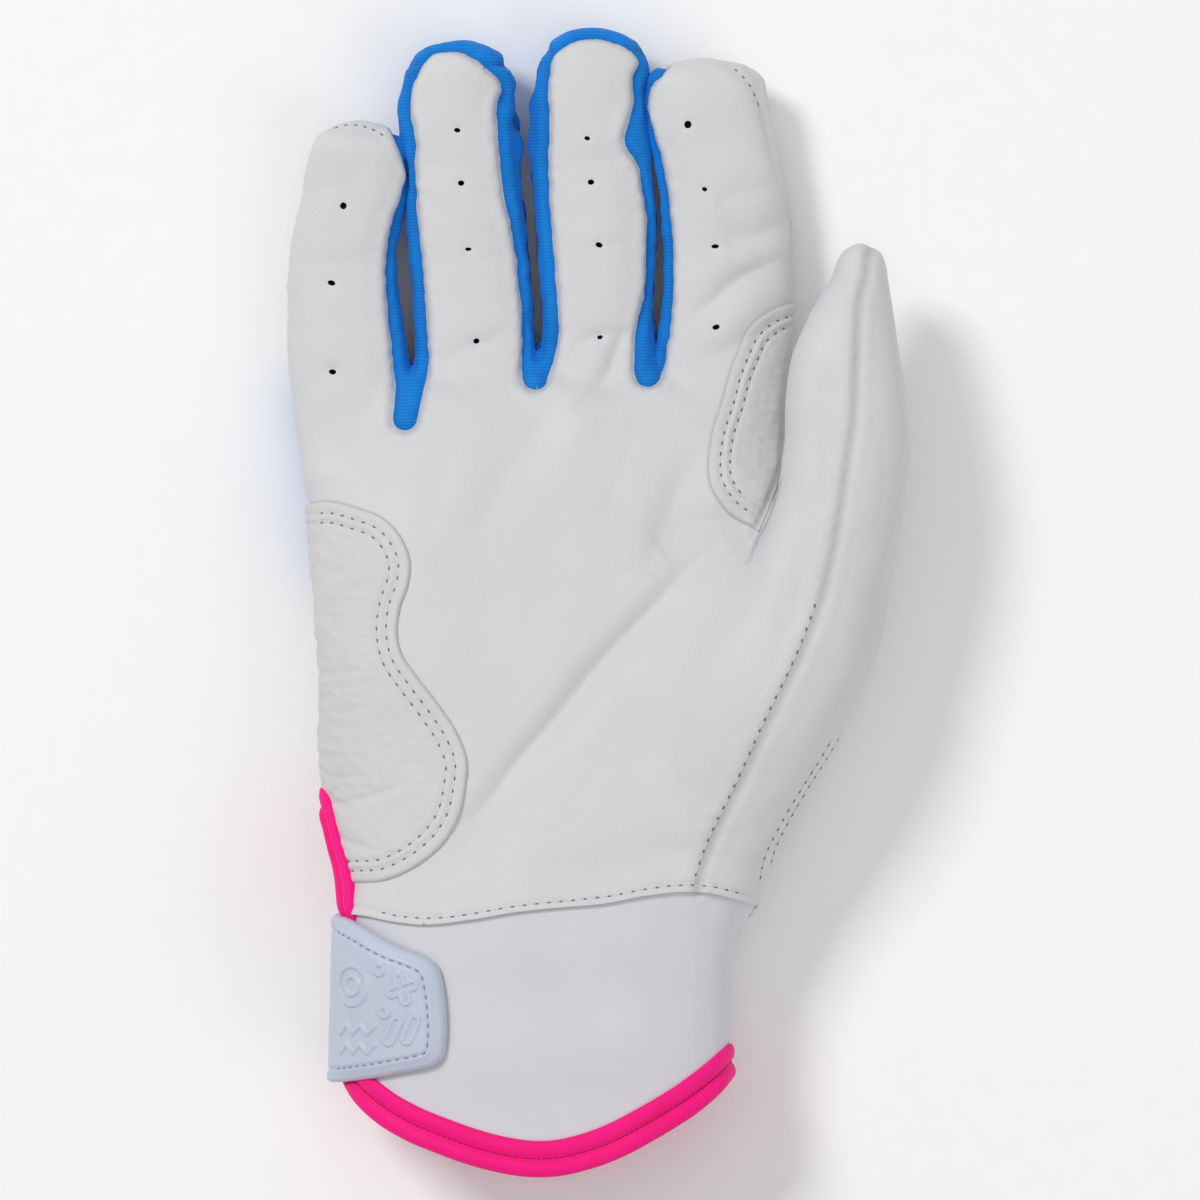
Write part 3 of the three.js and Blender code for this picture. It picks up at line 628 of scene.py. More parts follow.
x, y, z = skin.T
front = inside_distance(palm_outline, skin)
seams = {
    "front": front,
    "palm_side": z - side_seam(y),
    "thumb_front": np.where((x > THUMB_SIDE_X) | (y < THUMB_SIDE_Y), -front, -OUTSIDE),
    "thumb_back": x - read(THUMB_BACK_SEAM, y),
    "hand": y - wrist_line(x),
    "hem": y - hem_line(x) - TAPE_NOSE,
    "fingers_back": y - knuckle_line(x),
    "knuckles": y - back_line(x),
    "leather_back": y - (wrist_line(x) + ELASTIC_WIDTH),
    "right_of_little": x - parting("little", "ring", y),
    "right_of_ring": x - parting("ring", "middle", y),
    "right_of_middle": x - parting("middle", "index", y),
    "upper": y - BACK_SEAM_Y,
}
seams["right_of_little"] += 3 * smooth_step(*LITTLE_ENDS, y)
# the wrist's and the thumb's seams change over from their front to their back at the sides
turn = smooth_step(-3, 3, seams["palm_side"])
seams["hand"] = y - wrist_line(x) - turn * (palm_wrist_line(x) - wrist_line(x))
seams["thumb"] = turn * seams["thumb_front"] + (1 - turn) * seams["thumb_back"]
slit_x = np.maximum(x - CUFF_LEFT - SLIT_REACH, 0)
slit_y = np.maximum(y - SLIT_TOP + SLIT_HALF, 0)
off_slit = np.hypot(np.hypot(slit_y, seams["palm_side"]), slit_x)
seams["clear_of_slit"] = off_slit - SLIT_HALF - TAPE_NOSE
ring_tip = y - (KNUCKLE_Y + DIGITS["ring"][1] - TIP_FOLD)
middle_tip = y - (KNUCKLE_Y + DIGITS["middle"][1] - TIP_FOLD)
on_ring = np.minimum(seams["right_of_little"], -seams["right_of_ring"])
on_middle = np.minimum(seams["right_of_ring"], -seams["right_of_middle"])
seams["ring_fold"] = np.min([ring_tip, -seams["front"], on_ring], axis=0)
seams["middle_fold"] = np.min([middle_tip, -seams["front"], on_middle], axis=0)
print(len(seams), "seam lines over", len(skin), "points")

# %% [markdown]
# Cutting along the seams
#
# A seam runs across the faces of the skin, so faces on it are split exactly where a distance
# is zero. Neighbouring pieces are cut by the same line and so meet without a crack. Small
# features such as punched holes need finer faces first, which are made by halving edges.

# %% Split edges near small features
def stacked(*columns):
    return np.stack(columns, 1)


def refine(rows, tri, near):
    """Halve every edge between two near points."""
    n = len(rows)
    nxt = np.roll(tri, -1, 1)
    low, high = np.minimum(tri, nxt), np.maximum(tri, nxt)
    marked = near[low] & near[high]
    keys, index = np.unique((low * n + high)[marked], return_inverse=True)
    mid = np.full(tri.shape, -1)
    mid[marked] = n + index
    rows = np.concatenate([rows, (rows[keys // n] + rows[keys % n]) / 2])
    count = marked.sum(1)
    t, m = tri[count == 3].T, mid[count == 3].T
    faces = [tri[count == 0], stacked(t[0], m[0], m[2]), stacked(m[0], t[1], m[1])]
    faces += [stacked(m[2], m[1], t[2]), stacked(m[0], m[1], m[2])]
    for k in range(3):
        one = (count == 1) & marked[:, k]
        t, m = np.roll(tri[one], -k, 1).T, mid[one, k]
        faces += [stacked(t[0], m, t[2]), stacked(m, t[1], t[2])]
        two = (count == 2) & ~marked[:, k]
        t, m, o = np.roll(tri[two], -k, 1).T, mid[two, (k + 1) % 3], mid[two, (k + 2) % 3]
        faces += [stacked(t[0], t[1], m), stacked(t[0], m, o), stacked(o, m, t[2])]
    return rows, np.concatenate(faces)


# %% Cut a skin where a distance is zero
ON_LINE = 0.02


def clip(rows, tri, field):
    """The part of a skin where the field is positive, with new points on its zero line."""
    n = len(rows)
    sign = np.where(np.abs(field) < ON_LINE, 0, np.sign(field)).astype(int)
    s = sign[tri]
    keep = (s >= 0).all(1) & (s > 0).any(1)
    mixed = (s > 0).any(1) & (s < 0).any(1)
    t, s = tri[mixed], s[mixed]
    nxt = np.roll(t, -1, 1)
    low, high = np.minimum(t, nxt), np.maximum(t, nxt)
    crossed = s * np.roll(s, -1, 1) < 0
    keys, index = np.unique((low * n + high)[crossed], return_inverse=True)
    on = np.full(t.shape, -1)
    on[crossed] = n + index
    a, b = keys // n, keys % n
    share = (field[a] / (field[a] - field[b]))[:, None]
    rows = np.concatenate([rows, rows[a] * (1 - share) + rows[b] * share])
    faces = [tri[keep]]
    for k in range(3):
        r, q, e = np.roll(s, -k, 1), np.roll(t, -k, 1), np.roll(on, -k, 1)
        c = (r[:, 0] > 0) & (r[:, 1] < 0) & (r[:, 2] < 0)
        faces.append(stacked(q[c, 0], e[c, 0], e[c, 2]))
        c = (r[:, 0] > 0) & (r[:, 1] > 0) & (r[:, 2] < 0)
        faces += [stacked(q[c, 0], q[c, 1], e[c, 1]), stacked(q[c, 0], e[c, 1], e[c, 2])]
        c = (r[:, 0] > 0) & (r[:, 1] == 0) & (r[:, 2] < 0)
        faces.append(stacked(q[c, 0], q[c, 1], e[c, 2]))
        c = (r[:, 0] > 0) & (r[:, 1] < 0) & (r[:, 2] == 0)
        faces.append(stacked(q[c, 0], e[c, 0], q[c, 2]))
    faces = np.concatenate(faces)
    used, faces = np.unique(faces, return_inverse=True)
    return rows[used], faces.reshape(-1, 3)


# %% [markdown]
# Which piece lies where
#
# Each row names the seams that bound a piece, with a minus sign where the piece lies on the
# negative side. The leather of the hand runs a little past the wrist line, over the cuff, as
# it does on a sewn glove.

# %% The pieces and the seams that bound them
LEATHER_LAP = 1.3
CUFF_TUCK = 3

PIECES = {
    "palm_leather": ["front", "palm_side", "hand_lap", "clear_of_slit"],
    "thumb_outer": ["thumb", "hand_lap"],
    "gusset_little_ring": [
        "-front", "palm_side", "upper", "right_of_mid_little", "-right_of_mid_ring", "-ring_fold",
    ],
    "gusset_ring_middle": [
        "-front", "palm_side", "upper", "right_of_mid_ring", "-right_of_mid_middle", "-ring_fold",
        "-middle_fold",
    ],
    "gusset_middle_index": [
        "-front", "palm_side", "upper", "right_of_mid_middle", "-right_of_mid_index",
        "-middle_fold",
    ],
    "back_little": ["-palm_side", "fingers_back", "-right_of_little"],
    "back_ring": ["ring_back", "fingers_back", "right_of_little", "-right_of_ring"],
    "back_middle": ["middle_back", "fingers_back", "right_of_ring", "-right_of_middle"],
    "back_index": ["-palm_side", "fingers_back", "right_of_middle", "-thumb"],
    "knuckle_panel": ["-palm_side", "-fingers_back", "knuckles", "-thumb"],
    "back_leather": ["-palm_side", "-knuckles", "leather_back", "-thumb", "clear_of_slit"],
    "wrist_elastic": ["-palm_side", "-leather_back", "hand_lap", "-thumb", "clear_of_slit"],
    "cuff_palm": ["palm_side", "-under_leather", "hem", "clear_of_slit"],
    "cuff_back": ["-palm_side", "-under_leather", "hem", "clear_of_slit"],
}
for name, (_, _, base_x, tip_x, _) in DIGITS.items():
    seams["right_of_mid_" + name] = x - (base_x + tip_x) / 2
seams["ring_back"] = np.maximum(-seams["palm_side"], seams["ring_fold"])
seams["middle_back"] = np.maximum(-seams["palm_side"], seams["middle_fold"])
seams["hand_lap"] = seams["hand"] + LEATHER_LAP
seams["under_leather"] = seams["hand"] - CUFF_TUCK
NAMES = list(seams)
values = np.stack([seams[name] for name in NAMES], 1)


def field(rows, name):
    """A seam's distance on rows whose last columns are the seams."""
    sign = -1 if name.startswith("-") else 1
    return sign * rows[:, NAMES.index(name.lstrip("-")) - len(NAMES)]


labels = np.full(len(skin), -1)
for k, bounds in enumerate(PIECES.values()):
    inside = np.all([field(values, name) > 0 for name in bounds], axis=0)
    labels[inside & (labels < 0)] = k
for k, name in enumerate(PIECES):
    print(name, (labels == k).sum(), "points")

# %% [markdown]
# Where the stitched seams run
#
# Leather sinks where thread pulls it, so every point needs to know how far the nearest seam
# is. The places where two neighbouring points belong to different pieces are collected, and a
# search tree then answers for each point of the skin.

# %% Distance from every point to the nearest seam
nxt = np.roll(skin_faces, -1, 1)
ends = np.stack([skin_faces.ravel(), nxt.ravel()], 1)
ends = ends[ends[:, 0] < ends[:, 1]]
ends = ends[(labels[ends[:, 0]] != labels[ends[:, 1]]) & (labels[ends].min(1) >= 0)]
a, b = values[ends[:, 0]], values[ends[:, 1]]
flips = np.where(a * b < 0, np.abs(a) + np.abs(b), FAR)
which = flips.argmin(1)
row = np.arange(len(ends))
share = np.clip(a[row, which] / (a[row, which] - b[row, which] + 1e-12), 0, 1)[:, None]
seam_points = skin[ends[:, 0]] * (1 - share) + skin[ends[:, 1]] * share
wrist = [NAMES.index(name) for name in ("hand", "hand_lap", "under_leather")]
at_wrist = (flips[:, wrist] < FAR).any(1)


def distance_to(points, places, reach):
    """Distance from each point to the nearest place, no further than a reach."""
    tree = KDTree(len(places))
    for k, place in enumerate(places):
        tree.insert(place, k)
    tree.balance()
    found = np.full(len(points), float(reach))
    low, high = places.min(0) - reach, places.max(0) + reach
    for k in np.flatnonzero(((points > low) & (points < high)).all(1)):
        found[k] = min(reach, tree.find(points[k])[2])
    return found


SEAM_REACH = 9
seam_distance = distance_to(skin, seam_points[~at_wrist], SEAM_REACH)
print(len(seam_points), "seam points; nearest", seam_distance.min().round(3), "mm")

# %% [markdown]
# Folds, hollows and puckers
#
# The leather took its folds from a hand that opened and closed. Each fold is a short curve
# with a depth and a width, and the skin sinks along it and rises a little beside it. The ball
# of the thumb and the hollow of the palm are a broad bump and a broad dip. Small unevenness
# is a sum of waves in random directions, drawn from fixed seeds so that each run is the same.

# %% Helpers for folds
WAVES = 14
STROKE_STEPS = 60


def ripples(points, wavelength, seed):
    """A smooth random height between about -1 and 1, from waves of about one length."""
    random = np.random.default_rng(seed)
    total = np.zeros(len(points))
    for _ in range(WAVES):
        direction = random.normal(size=3)
        direction *= random.uniform(0.7, 1.4) * 2 * math.pi / wavelength / np.linalg.norm(direction)
        total += np.sin(points @ direction + random.uniform(0, 2 * math.pi))
    return total * math.sqrt(2 / WAVES) / 1.6


def hump(value, width):
    """One at zero and next to nothing beyond twice the width."""
    return np.exp(-((value / width) ** 2))


def stroke(points, path):
    """Across, along and side of each point against a curve in XY."""
    path = curve_through(path, STROKE_STEPS)
    best = np.full(len(points), FAR)
    along_best = np.zeros(len(points))
    side = np.zeros(len(points))
    for k, (a, b) in enumerate(zip(path[:-1], path[1:])):
        d = b - a
        px, py = points[:, 0] - a[0], points[:, 1] - a[1]
        t = np.clip((px * d[0] + py * d[1]) / (d @ d), 0, 1)
        gap = np.hypot(px - t * d[0], py - t * d[1])
        nearer = gap < best
        best[nearer] = gap[nearer]
        along_best[nearer] = (k + t[nearer]) / STROKE_STEPS
        side[nearer] = np.sign(d[0] * py - d[1] * px)[nearer]
    return best, along_best, side


def mound(points, middle, across, along, turn_by, height):
    """A broad bump, or a hollow where the height is negative."""
    c, s = math.cos(math.radians(turn_by)), math.sin(math.radians(turn_by))
    dx, dy = points[:, 0] - middle[0], points[:, 1] - middle[1]
    u, v = (c * dx + s * dy) / along, (c * dy - s * dx) / across
    return height * np.exp(-(u * u + v * v))


# %% Folds of the palm and the fingers: path, depth, width, rise on the left and on the right
FOLDS = [
    ([(-31.3, -49.4), (-23.7, -42.3), (-18, -34.7), (-8.5, -23.7), (1, -11.9), (11, -1.5),
      (20, 8.1), (26, 12)], 1.7, 1.6, 0, 0.5),
    ([(-43, -60), (-33, -55), (-26.6, -49.5), (-18, -43), (-8, -36)], 0.7, 2.4, 0.1, 0.5),
    ([(9.5, 5), (11.5, 11), (14.5, 18), (18, 26), (23, 33)], 1.5, 3.6, 0.3, 0.4),
    ([(12, 11.5), (19, 16), (31, 17)], 0.9, 2.2, 0.1, 0.8),
    ([(-33, 6), (-23.7, 18.5), (-18, 29), (-13, 36), (-8, 43)], 0.8, 3.4, 0.3, 0.3),
    ([(0, 14), (4, 26), (8, 36), (9.5, 43)], 0.5, 3.0, 0.5, 0.1),
    ([(-5.7, 39.4), (1.6, 47.5), (3.7, 52.4), (4.9, 54.9), (7, 58)], 0.95, 1.2, 0.3, 0.2),
    ([(-6, 52.8), (0, 55.7), (6.5, 55.6)], 0.6, 1.4, 0.2, 0.5),
    ([(-34.2, 48.4), (-29.3, 52.4), (-23.6, 54.1), (-19.4, 57.4)], 0.55, 1.5, 0.2, 0.5),
    ([(-37, 70.6), (-27, 71), (-18, 72)], 0.28, 1.6, 0.1, 0.1),
    ([(-11, 74), (-2, 73.4), (8, 76)], 0.28, 1.6, 0.1, 0.1),
    ([(-11, 93), (-2, 92.4), (6.5, 94)], 0.25, 1.6, 0.1, 0.1),
    ([(-39, 92), (-30, 91), (-22, 92.5)], 0.25, 1.6, 0.1, 0.1),
    ([(18, 59.5), (22.9, 62.2), (28.6, 67.1), (35, 70.2), (40, 72.5)], 1.0, 1.5, 0.3, 0.7),
    ([(18, 49.5), (28.6, 53.6), (35, 58), (40, 63)], 0.7, 2.0, 0.2, 0.5),
    ([(24, 84.5), (32, 86), (40, 88.3)], 0.5, 2.0, 0.2, 0.5),
    ([(26, 76.5), (33, 76.8), (40.5, 79.5)], 0.6, 1.6, 0.3, 0.5),
    ([(-64, 71.5), (-55, 71), (-46, 73)], 0.28, 1.6, 0.1, 0.1),
    ([(-64.5, 49.5), (-58, 48.5), (-50, 50)], 0.25, 1.6, 0.1, 0.1),
    ([(-64, 86), (-57, 87), (-49, 89)], 0.2, 1.6, 0.1, 0.1),
    ([(-57.5, 22), (-57, 32), (-56.5, 42)], 0.35, 2.4, 0.3, 0.2),
    ([(46.8, 18), (47.3, 28), (46, 40), (45.6, 50)], 0.55, 1.7, 0.3, 0.4),
    ([(40, -8), (41.8, 3), (41.5, 14), (43, 22)], 0.5, 1.8, 0.3, 0.4),
    ([(36.5, -14), (38.5, -4), (38.2, 6)], 0.3, 1.8, 0.2, 0.3),
    ([(57, 10), (59.5, 22), (59.5, 36)], 0.35, 2.2, 0.2, 0.3),
    ([(-30, 33), (-34, 24), (-36, 12)], 0.35, 2.6, 0.2, 0.2),
    ([(-10, -57.5), (6, -56.5), (17, -53)], 0.35, 2.2, 0.2, 0.3),
    ([(17, -48), (15, -34), (8, -22)], 0.35, 3.2, 0.2, 0.2),
    ([(20, 115.2), (25.7, 114), (29.8, 110.7), (32.8, 107.2), (34.4, 103), (36.2, 96),
      (38, 88)], 0.5, 0.7, 0.3, 0.3),
    ([(-58.8, 97.2), (-57.3, 98.7), (-53.4, 99.6), (-48.9, 98.9), (-45, 96.6)],
     0.4, 0.7, 0.3, 0.3),
    ([(31, 113), (33.5, 109.5), (35.4, 106)], 0.4, 0.8, 0.2, 0.2),
    ([(31, 7), (32.2, 11.5), (34.4, 16.5), (37.1, 23.6), (38.6, 29)], 0.45, 0.9, 0.2, 0.15),
]
# Broad bumps and dips: middle, width across and along, turned by degrees, height
MOUNDS = [
    ((16, -26), 20, 34, 48, 2.0),
    ((-12, 2), 16, 30, 50, -1.6),
    ((-46, -20), 14, 26, 80, 1.2),
    ((-30, 34), 8, 16, 10, 0.7),
    ((-5, 36), 4.5, 13, 65, 0.9),
    ((26, 40), 8, 10, 0, 0.5),
    ((34, 79), 5, 9, 25, -0.9),
    ((5, -24), 5, 8, 80, -0.4),
    ((-8, -83), 9, 21, 0, -1.5),
]
# A fold falls steeply on its upper left and rises slowly on its lower right, as times its
# width, and the skin swells beside it over a longer reach
STEEP_SIDE, GENTLE_SIDE, SWELL_REACH = 1.5, 3.6, 6
FOLD_DEPTH = 1.75

on_palm_side = smooth_step(-1, 4, seams["palm_side"])
lift = np.zeros(len(skin))
for path, depth, width, left, right in FOLDS:
    if np.subtract(path[-1], path[0]).sum() < 0:
        path, left, right = path[::-1], right, left
    across, share, side = stroke(skin, path)
    taper = np.sin(math.pi * np.clip(share, 0.001, 0.999)) ** 0.6
    steep, gentle = across / (STEEP_SIDE * width), across / (GENTLE_SIDE * width)
    valley = np.exp(-np.where(side > 0, steep**1.4, gentle**1.15))
    rise = np.where(side > 0, left, right) * (1 - hump(gentle, 1))
    swell = rise * np.exp(-((across / (SWELL_REACH * width)) ** 1.6))
    lift += FOLD_DEPTH * depth * taper * (swell - valley) * on_palm_side
for middle, across, along, turn_by, height in MOUNDS:
    lift += mound(skin, middle, across, along, turn_by, height) * on_palm_side
print("folds", lift.min().round(2), "to", lift.max().round(2), "mm")

# %% Seam valleys, puckers and unevenness
# A seam sinks by its depth over its width, with a low roll beside it; the thumb's is flatter
SEAM_DEPTH, SEAM_WIDTH, FLAT_SEAM_DEPTH = 0.75, 0.95, 0.3
ROLL_SHARE, ROLL_AT, ROLL_WIDTH = 0.3, 2.4, 1.1
# Puckers beside a seam: how far they reach, and the height and length of two sizes
PUCKER_REACH = 3.2
PUCKER, PUCKER_LENGTH = 0.13, 3.6
FINE_PUCKER, FINE_LENGTH = 0.07, 1.9
# Unevenness of the whole skin, and the grain's own small waves, each with its length
SLOW, SLOW_LENGTH = 0.28, 34
MIDDLING, MIDDLING_LENGTH = 0.1, 12
SMALL, SMALL_LENGTH = 0.025, 4.2
CUFF_CALM = 0.6
# The stretch knit is crumpled by its seams, most near one fingertip
CRUMPLE, TIP_CRUMPLE, CRUMPLE_LENGTH = 0.12, 0.6, 6.5
CRUMPLED_TIP, CRUMPLED_REACH = (-19, 104), math.sqrt(90)
CRUMPLE_LOW, CRUMPLE_HIGH, CRUMPLE_RIGHT = 50, 62, 30
SLACK, SLACK_LENGTH = 0.12, 7
GATHER_PITCH, GATHER_DEPTH, GATHER_DRIFT = 3.4, 0.55, 14
RESTING_EDGE = 0.6

flat_seam = smooth_step(4, 1, np.abs(seams["thumb"]))
deep = SEAM_DEPTH * (1 - flat_seam) + FLAT_SEAM_DEPTH * flat_seam
lift -= deep * hump(seam_distance, SEAM_WIDTH)
lift += ROLL_SHARE * deep * hump(seam_distance - ROLL_AT, ROLL_WIDTH)
near_seam = hump(seam_distance, PUCKER_REACH)
lift += PUCKER * near_seam * ripples(skin, PUCKER_LENGTH, 11) * (1 - 0.7 * flat_seam)
lift += FINE_PUCKER * near_seam * ripples(skin, FINE_LENGTH, 12)
cuff = smooth_step(2, -2, seams["hand"])
uneven = SLOW * ripples(skin, SLOW_LENGTH, 13) + MIDDLING * ripples(skin, MIDDLING_LENGTH, 14)
lift += (1 - CUFF_CALM * cuff) * uneven
lift += (1 - cuff) * SMALL * ripples(skin, SMALL_LENGTH, 15)
in_gusset = smooth_step(0, 1.5, -seams["front"]) * smooth_step(CRUMPLE_LOW, CRUMPLE_HIGH, y)
off_tip = np.hypot(x - CRUMPLED_TIP[0], y - CRUMPLED_TIP[1])
crumple = (CRUMPLE + TIP_CRUMPLE * hump(off_tip, CRUMPLED_REACH)) * (x < CRUMPLE_RIGHT)
lift += crumple * in_gusset * ripples(skin, CRUMPLE_LENGTH, 17)
# the blue stretch panels on the back are slacker than leather
slack = smooth_step(1, -3, seams["palm_side"]) * smooth_step(0, 4, seams["knuckles"])
lift += SLACK * slack * ripples(skin, SLACK_LENGTH, 16)
# the elastic across the back of the wrist draws its cloth into small gathers
gathered = smooth_step(0.5, 2, seams["hand"]) * smooth_step(-0.5, -2.5, seams["leather_back"])
gathered = gathered * smooth_step(0, -3, seams["palm_side"])
phase = 2 * math.pi * (x + ripples(skin, GATHER_DRIFT, 18)) / GATHER_PITCH
lift -= GATHER_DEPTH * gathered * (0.5 + 0.5 * np.sin(phase))
shaped = skin + skin_normals * lift[:, None]
# where the back rests on a table it is pressed flat, with a soft edge
shaped[:, 2] = (shaped[:, 2] + np.hypot(shaped[:, 2], RESTING_EDGE)) / 2
print("shaped skin", shaped.min(0).round(1), shaped.max(0).round(1))

# %% [markdown]
# From skin to piece
#
# A piece is cut from the skin, lifted if it lies on top of another layer, given its real
# thickness inwards with a Solidify modifier, and shaded smooth except at its cut edge.

# %% Helpers for pieces
# Columns of a skin point: its first place, its shaped place, its normal, its seam's distance
SHAPED = slice(3, 6)
NORMAL = slice(6, 9)
SEAM_GAP = 9
# Punched holes: place, half width, half height, and how far each is pulled askew in degrees
HOLES = [
    (-54, 82.9, 0.72, 0.72, 0), (-56.5, 66.7, 0.82, 0.55, -14), (-56.3, 48, 0.78, 0.55, -8),
    (-30, 98.8, 0.66, 0.46, -10), (-29.2, 87.7, 0.66, 0.56, 0), (-27.7, 73.8, 0.66, 0.36, 0),
    (-26, 54.5, 0.66, 0.56, 10), (-2.7, 97.1, 0.6, 0.44, -12), (-1.9, 87.9, 0.7, 0.56, 0),
    (-0.2, 74.7, 0.76, 0.54, -18), (0, 55.3, 0.62, 0.42, 12), (18.5, 100, 0.76, 0.8, 0),
    (22, 86.4, 0.56, 0.44, -20), (24.2, 74.4, 0.8, 0.44, 0), (24.4, 57.4, 0.78, 0.56, 14),
]
skin_rows = np.concatenate([skin, shaped, skin_normals, seam_distance[:, None], values], 1)


def new_object(name, co, faces):
    """A new object from points in millimetres and faces."""
    mesh = bpy.data.meshes.new(name)
    mesh.from_pydata((co * MM).tolist(), [], faces)
    made = bpy.data.objects.new(name, mesh)
    bpy.context.scene.collection.objects.link(made)
    return made


def keep_seam(made, distance):
    """Store how far each point is from a seam, where the materials paint shade."""
    layer = made.data.attributes.new("seam", "FLOAT", "POINT")
    layer.data.foreach_set("value", distance)


def edit(made, merge=0.0, outward=True):
    """Merge doubles and turn all faces outwards, in edit mode."""
    select_only(made)
    bpy.ops.object.mode_set(mode="EDIT")
    bpy.ops.mesh.select_all(action="SELECT")
    if merge:
        bpy.ops.mesh.remove_doubles(threshold=merge * MM)
    if outward:
        bpy.ops.mesh.normals_make_consistent(inside=False)
    bpy.ops.object.mode_set(mode="OBJECT")
    return made


def thicken(made, thickness):
    """Give a skin its thickness, inwards."""
    select_only(made)
    bpy.ops.object.modifier_add(type="SOLIDIFY")
    solidify = made.modifiers[-1]
    solidify.thickness = thickness * MM
    solidify.offset = -1
    bpy.ops.object.modifier_apply(modifier=solidify.name)


def shade(made, angle=50):
    select_only(made)
    bpy.ops.object.shade_smooth_by_angle(angle=math.radians(angle))


def finish_piece(made, node, body="glove"):
    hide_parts(node)
    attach(made, body)
    return made


def main_island(rows, tri):
    """The largest connected part of a skin."""
    label = np.arange(len(rows))
    while True:
        before, lowest = label.copy(), label[tri].min(1)
        for k in range(3):
            np.minimum.at(label, tri[:, k], lowest)
        label = label[label]
        if (label == before).all():
            break
    largest = np.bincount(label[tri[:, 0]]).argmax()
    return clip(rows, tri, np.where(label == largest, 1.0, -1.0))


def cut_piece(bounds):
    rows, tri = skin_rows, skin_faces
    for name in bounds:
        rows, tri = clip(rows, tri, field(rows, name))
    return rows, tri


# The sharp crease beside the thumb: its line, its depth and how narrow it is
CREASE = [
    (38.4, 26.6), (37.2, 23.4), (35.8, 19.6), (34.3, 16.2), (32.6, 12.6), (31.6, 10.2),
    (31.4, 8.2),
]
CREASE_DEPTH, CREASE_WIDTH = 0.7, 0.3
# Leather this near to a seam is shaded
SHADE_REACH = 1.6
# Faces are halved ever nearer to a hole and to the crease
HOLE_REACHES, CREASE_REACHES = (2.6, 1.8, 1.3), (2.2, 1.4)
# The leather sinks towards a hole: depth, and reach as times the hole's half width
DENT, DENT_REACH = 0.3, 1.8


def punch(rows, tri):
    """Cut the small ventilation holes, with finer faces round them and along the crease."""
    for reach in HOLE_REACHES:
        away = [np.hypot(rows[:, 0] - hole[0], rows[:, 1] - hole[1]) for hole in HOLES]
        rows, tri = refine(rows, tri, np.min(away, axis=0) < reach)
    gaps = []
    for hx, hy, wide, high, askew in HOLES:
        c, s = math.cos(math.radians(askew)), math.sin(math.radians(askew))
        dx, dy = rows[:, 0] - hx, rows[:, 1] - hy
        gaps.append((np.hypot((c * dx + s * dy) / wide, (c * dy - s * dx) / high) - 1) * high)
    rows, tri = clip(rows, tri, np.min(gaps, axis=0))
    for reach in CREASE_REACHES:
        rows, tri = refine(rows, tri, stroke(rows, CREASE)[0] < reach)
    return rows, tri


def crease(rows):
    """Depth of the pressed crease, which runs out at both ends."""
    across, share, _ = stroke(rows, CREASE)
    ends = smooth_step(0, 0.12, share) * smooth_step(1, 0.92, share)
    return CREASE_DEPTH * hump(across, CREASE_WIDTH) * ends


def dents(rows):
    """Depth of the leather round the holes."""
    total = np.zeros(len(rows))
    for hx, hy, wide, *_ in HOLES:
        total += DENT * hump(np.hypot(rows[:, 0] - hx, rows[:, 1] - hy) / wide, DENT_REACH)
    return total


# %% [markdown]
# Colours and nodes
#
# Each colour is read from the photograph as a hex value and turned to linear light by one
# function. One more function adds a node with its settings and its links, so that a material
# reads from its real thing to its numbers.

# %% Helpers for materials
def linear(hex_colour):
    """An sRGB hex colour as linear red, green, blue and alpha."""
    parts = [int(hex_colour[k : k + 2], 16) / 255 for k in (1, 3, 5)]
    return [p / 12.92 if p <= 0.04045 else ((p + 0.055) / 1.055) ** 2.4 for p in parts] + [1]


def add(tree, kind, inputs=None, **settings):
    """A new node; each input is a plain value or the output that feeds it."""
    node = tree.nodes.new(kind)
    for key, value in settings.items():
        setattr(node, key, value)
    for key, value in (inputs or {}).items():
        if isinstance(value, bpy.types.NodeSocket):
            tree.links.new(value, node.inputs[key])
        else:
            node.inputs[key].default_value = value
    return node


def new_material(name, rough, spot=0.5, sheen=0.0):
    """A plain material, its node tree and shader, and the place on the object in millimetres."""
    made = bpy.data.materials.new(name)
    made.use_nodes = True
    tree = made.node_tree
    shader = tree.nodes["Principled BSDF"]
    shader.inputs["Roughness"].default_value = rough
    shader.inputs["Specular IOR Level"].default_value = spot
    shader.inputs["Sheen Weight"].default_value = sheen
    place = add(tree, "ShaderNodeTexCoord").outputs["Object"]
    mm = add(tree, "ShaderNodeVectorMath", {0: place, 1: [1 / MM] * 3}, operation="MULTIPLY")
    return made, tree, shader, mm.outputs[0]


# %% [markdown]
# White leather
#
# Batting gloves are cut from thin sheepskin, tanned, dyed white and drummed until it is soft.
# Its grain is very fine, about 0.4 mm a cell, and it shows only where light skims along it.
# The finish is matt with a little shine, and hardly any colour.

# %% White sheepskin
# Painted shade in a seam and in the crease: its colour, how far it reaches and how strong it is
SEAM_SHADE, SEAM_SHADE_SHARE = "#9C9DA2", 0.55
CLOUD_SIZE, WARP_SIZE, PORE_SIZE, CRINKLE_SIZE = 22, 2.5, 1 / 2.6, 3.125
GRAIN_DEPTH, PORE_DEPTH, CRINKLE_DEPTH = 0.06, 0.08, 0.6


